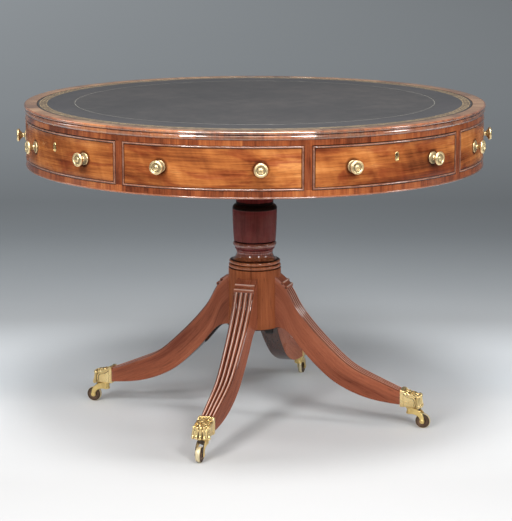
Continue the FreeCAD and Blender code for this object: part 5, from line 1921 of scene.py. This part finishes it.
@dataclass
class Studio:
    """The camera, the lamps and the pale floor."""

    bearing: float = -34.6  # azimuth that the camera looks from
    camera_place: Triple = (-0.0030, -4.702, 1.3275)
    camera_pitch: float = 11.446
    camera_yaw: float = -0.073
    focal_pixels: float = 2028.4
    frame_height: float = 521.0
    sensor: float = 36.0
    aim_height: float = 0.45
    lamps: tuple[SoftLight, ...] = (
        SoftLight("key_lamp", -30.0, 38.0, 3.2, 0.55, 0.6, 30.0),
        SoftLight("fill_lamp", 24.0, 37.0, 3.2, 0.55, 0.6, 32.0),
        SoftLight("low_key_lamp", -31.0, 20.0, 3.2, 0.34, 0.40, 18.0),
        SoftLight("low_fill_lamp", 24.0, 20.0, 3.2, 0.34, 0.40, 18.0),
        SoftLight("left_lamp", -104.0, 30.0, 3.4, 0.5, 1.3, 8.0),
        SoftLight("right_lamp", 72.0, 24.0, 3.6, 0.5, 1.3, 26.0),
        SoftLight("strip_lamp", -12.0, 58.0, 3.4, 3.0, 0.35, 42.0),
        SoftLight("overhead_lamp", 4.0, 74.0, 3.0, 1.2, 0.9, 74.0),
    )

    def turned(self, x: float, y: float, z: float) -> Triple:
        """A point of the photograph's own frame in the table's frame."""
        angle = math.radians(self.bearing)
        c, s = math.cos(angle), math.sin(angle)
        return c * x - s * y, s * x + c * y, z

    def camera(self) -> None:
        """Makes the camera, with the lens that gives the focal length in pixels."""
        data = bpy.data.cameras.new("camera")
        data.sensor_width = self.sensor
        data.lens = self.focal_pixels * self.sensor / self.frame_height
        camera = bpy.data.objects.new("camera", data)
        camera.location = self.turned(*self.camera_place)
        turn = math.radians(self.bearing + self.camera_yaw)
        camera.rotation_euler = (math.radians(90 - self.camera_pitch), 0.0, turn)
        bpy.context.scene.collection.objects.link(camera)
        bpy.context.scene.camera = camera

    def lamp(self, lamp: SoftLight) -> None:
        """Makes one lamp at its place round the table."""
        data = bpy.data.lights.new(lamp.name, "AREA")
        data.shape, data.size, data.size_y = "RECTANGLE", lamp.width, lamp.length
        data.energy, data.color = lamp.watts, lamp.tint
        light = bpy.data.objects.new(lamp.name, data)
        side, lift = math.radians(lamp.azimuth), math.radians(lamp.height_angle)
        level = lamp.distance * math.cos(lift)
        place = self.turned(level * math.sin(side), -level * math.cos(side), 0.0)
        light.location = (place[0], place[1], self.aim_height + lamp.distance * math.sin(lift))
        light.rotation_euler = (math.radians(90) - lift, 0.0, side + math.radians(self.bearing))
        light.visible_camera = False
        bpy.context.scene.collection.objects.link(light)

    def floor(self) -> None:
        """Makes the floor, a wide sheet of paper."""
        place = np.linspace(-40.0, 40.0, 9)
        mesh = mesh_of("studio_floor", [grid(stacked(place[:, None], place[None, :], 0.0))])
        mesh.materials.append(PaperSweep("pale_studio_paper", self.bearing).build())
        floor = bpy.data.objects.new("studio_floor", mesh)
        bpy.context.scene.collection.objects.link(floor)

    def world(self) -> None:
        """Gives the room a dim even grey."""
        world = bpy.data.worlds.new("studio_room")
        world.use_nodes = True
        background = world.node_tree.nodes["Background"]
        background.inputs["Color"].default_value = (0.80, 0.83, 0.86, 1.0)
        background.inputs["Strength"].default_value = 0.22
        bpy.context.scene.world = world

    def build(self) -> None:
        """Sets up the studio."""
        self.camera()
        for lamp in self.lamps:
            self.lamp(lamp)
        self.floor()
        self.world()
        view = bpy.context.scene.view_settings
        view.view_transform, view.look = "Standard", "None"


def main() -> None:
    """Builds the studio and every part of the table, in order."""
    logging.basicConfig(level=logging.INFO, format="%(name)s: %(message)s")
    Studio().build()
    finishes = Finishes()
    for part in (Carcase, Top, Frieze, Knobs, Keyholes, Column, Legs, PawCaps, Casters):
        part(finishes).build()
        log.info("%s done", part.__name__)


if __name__ == "__main__":
    main()
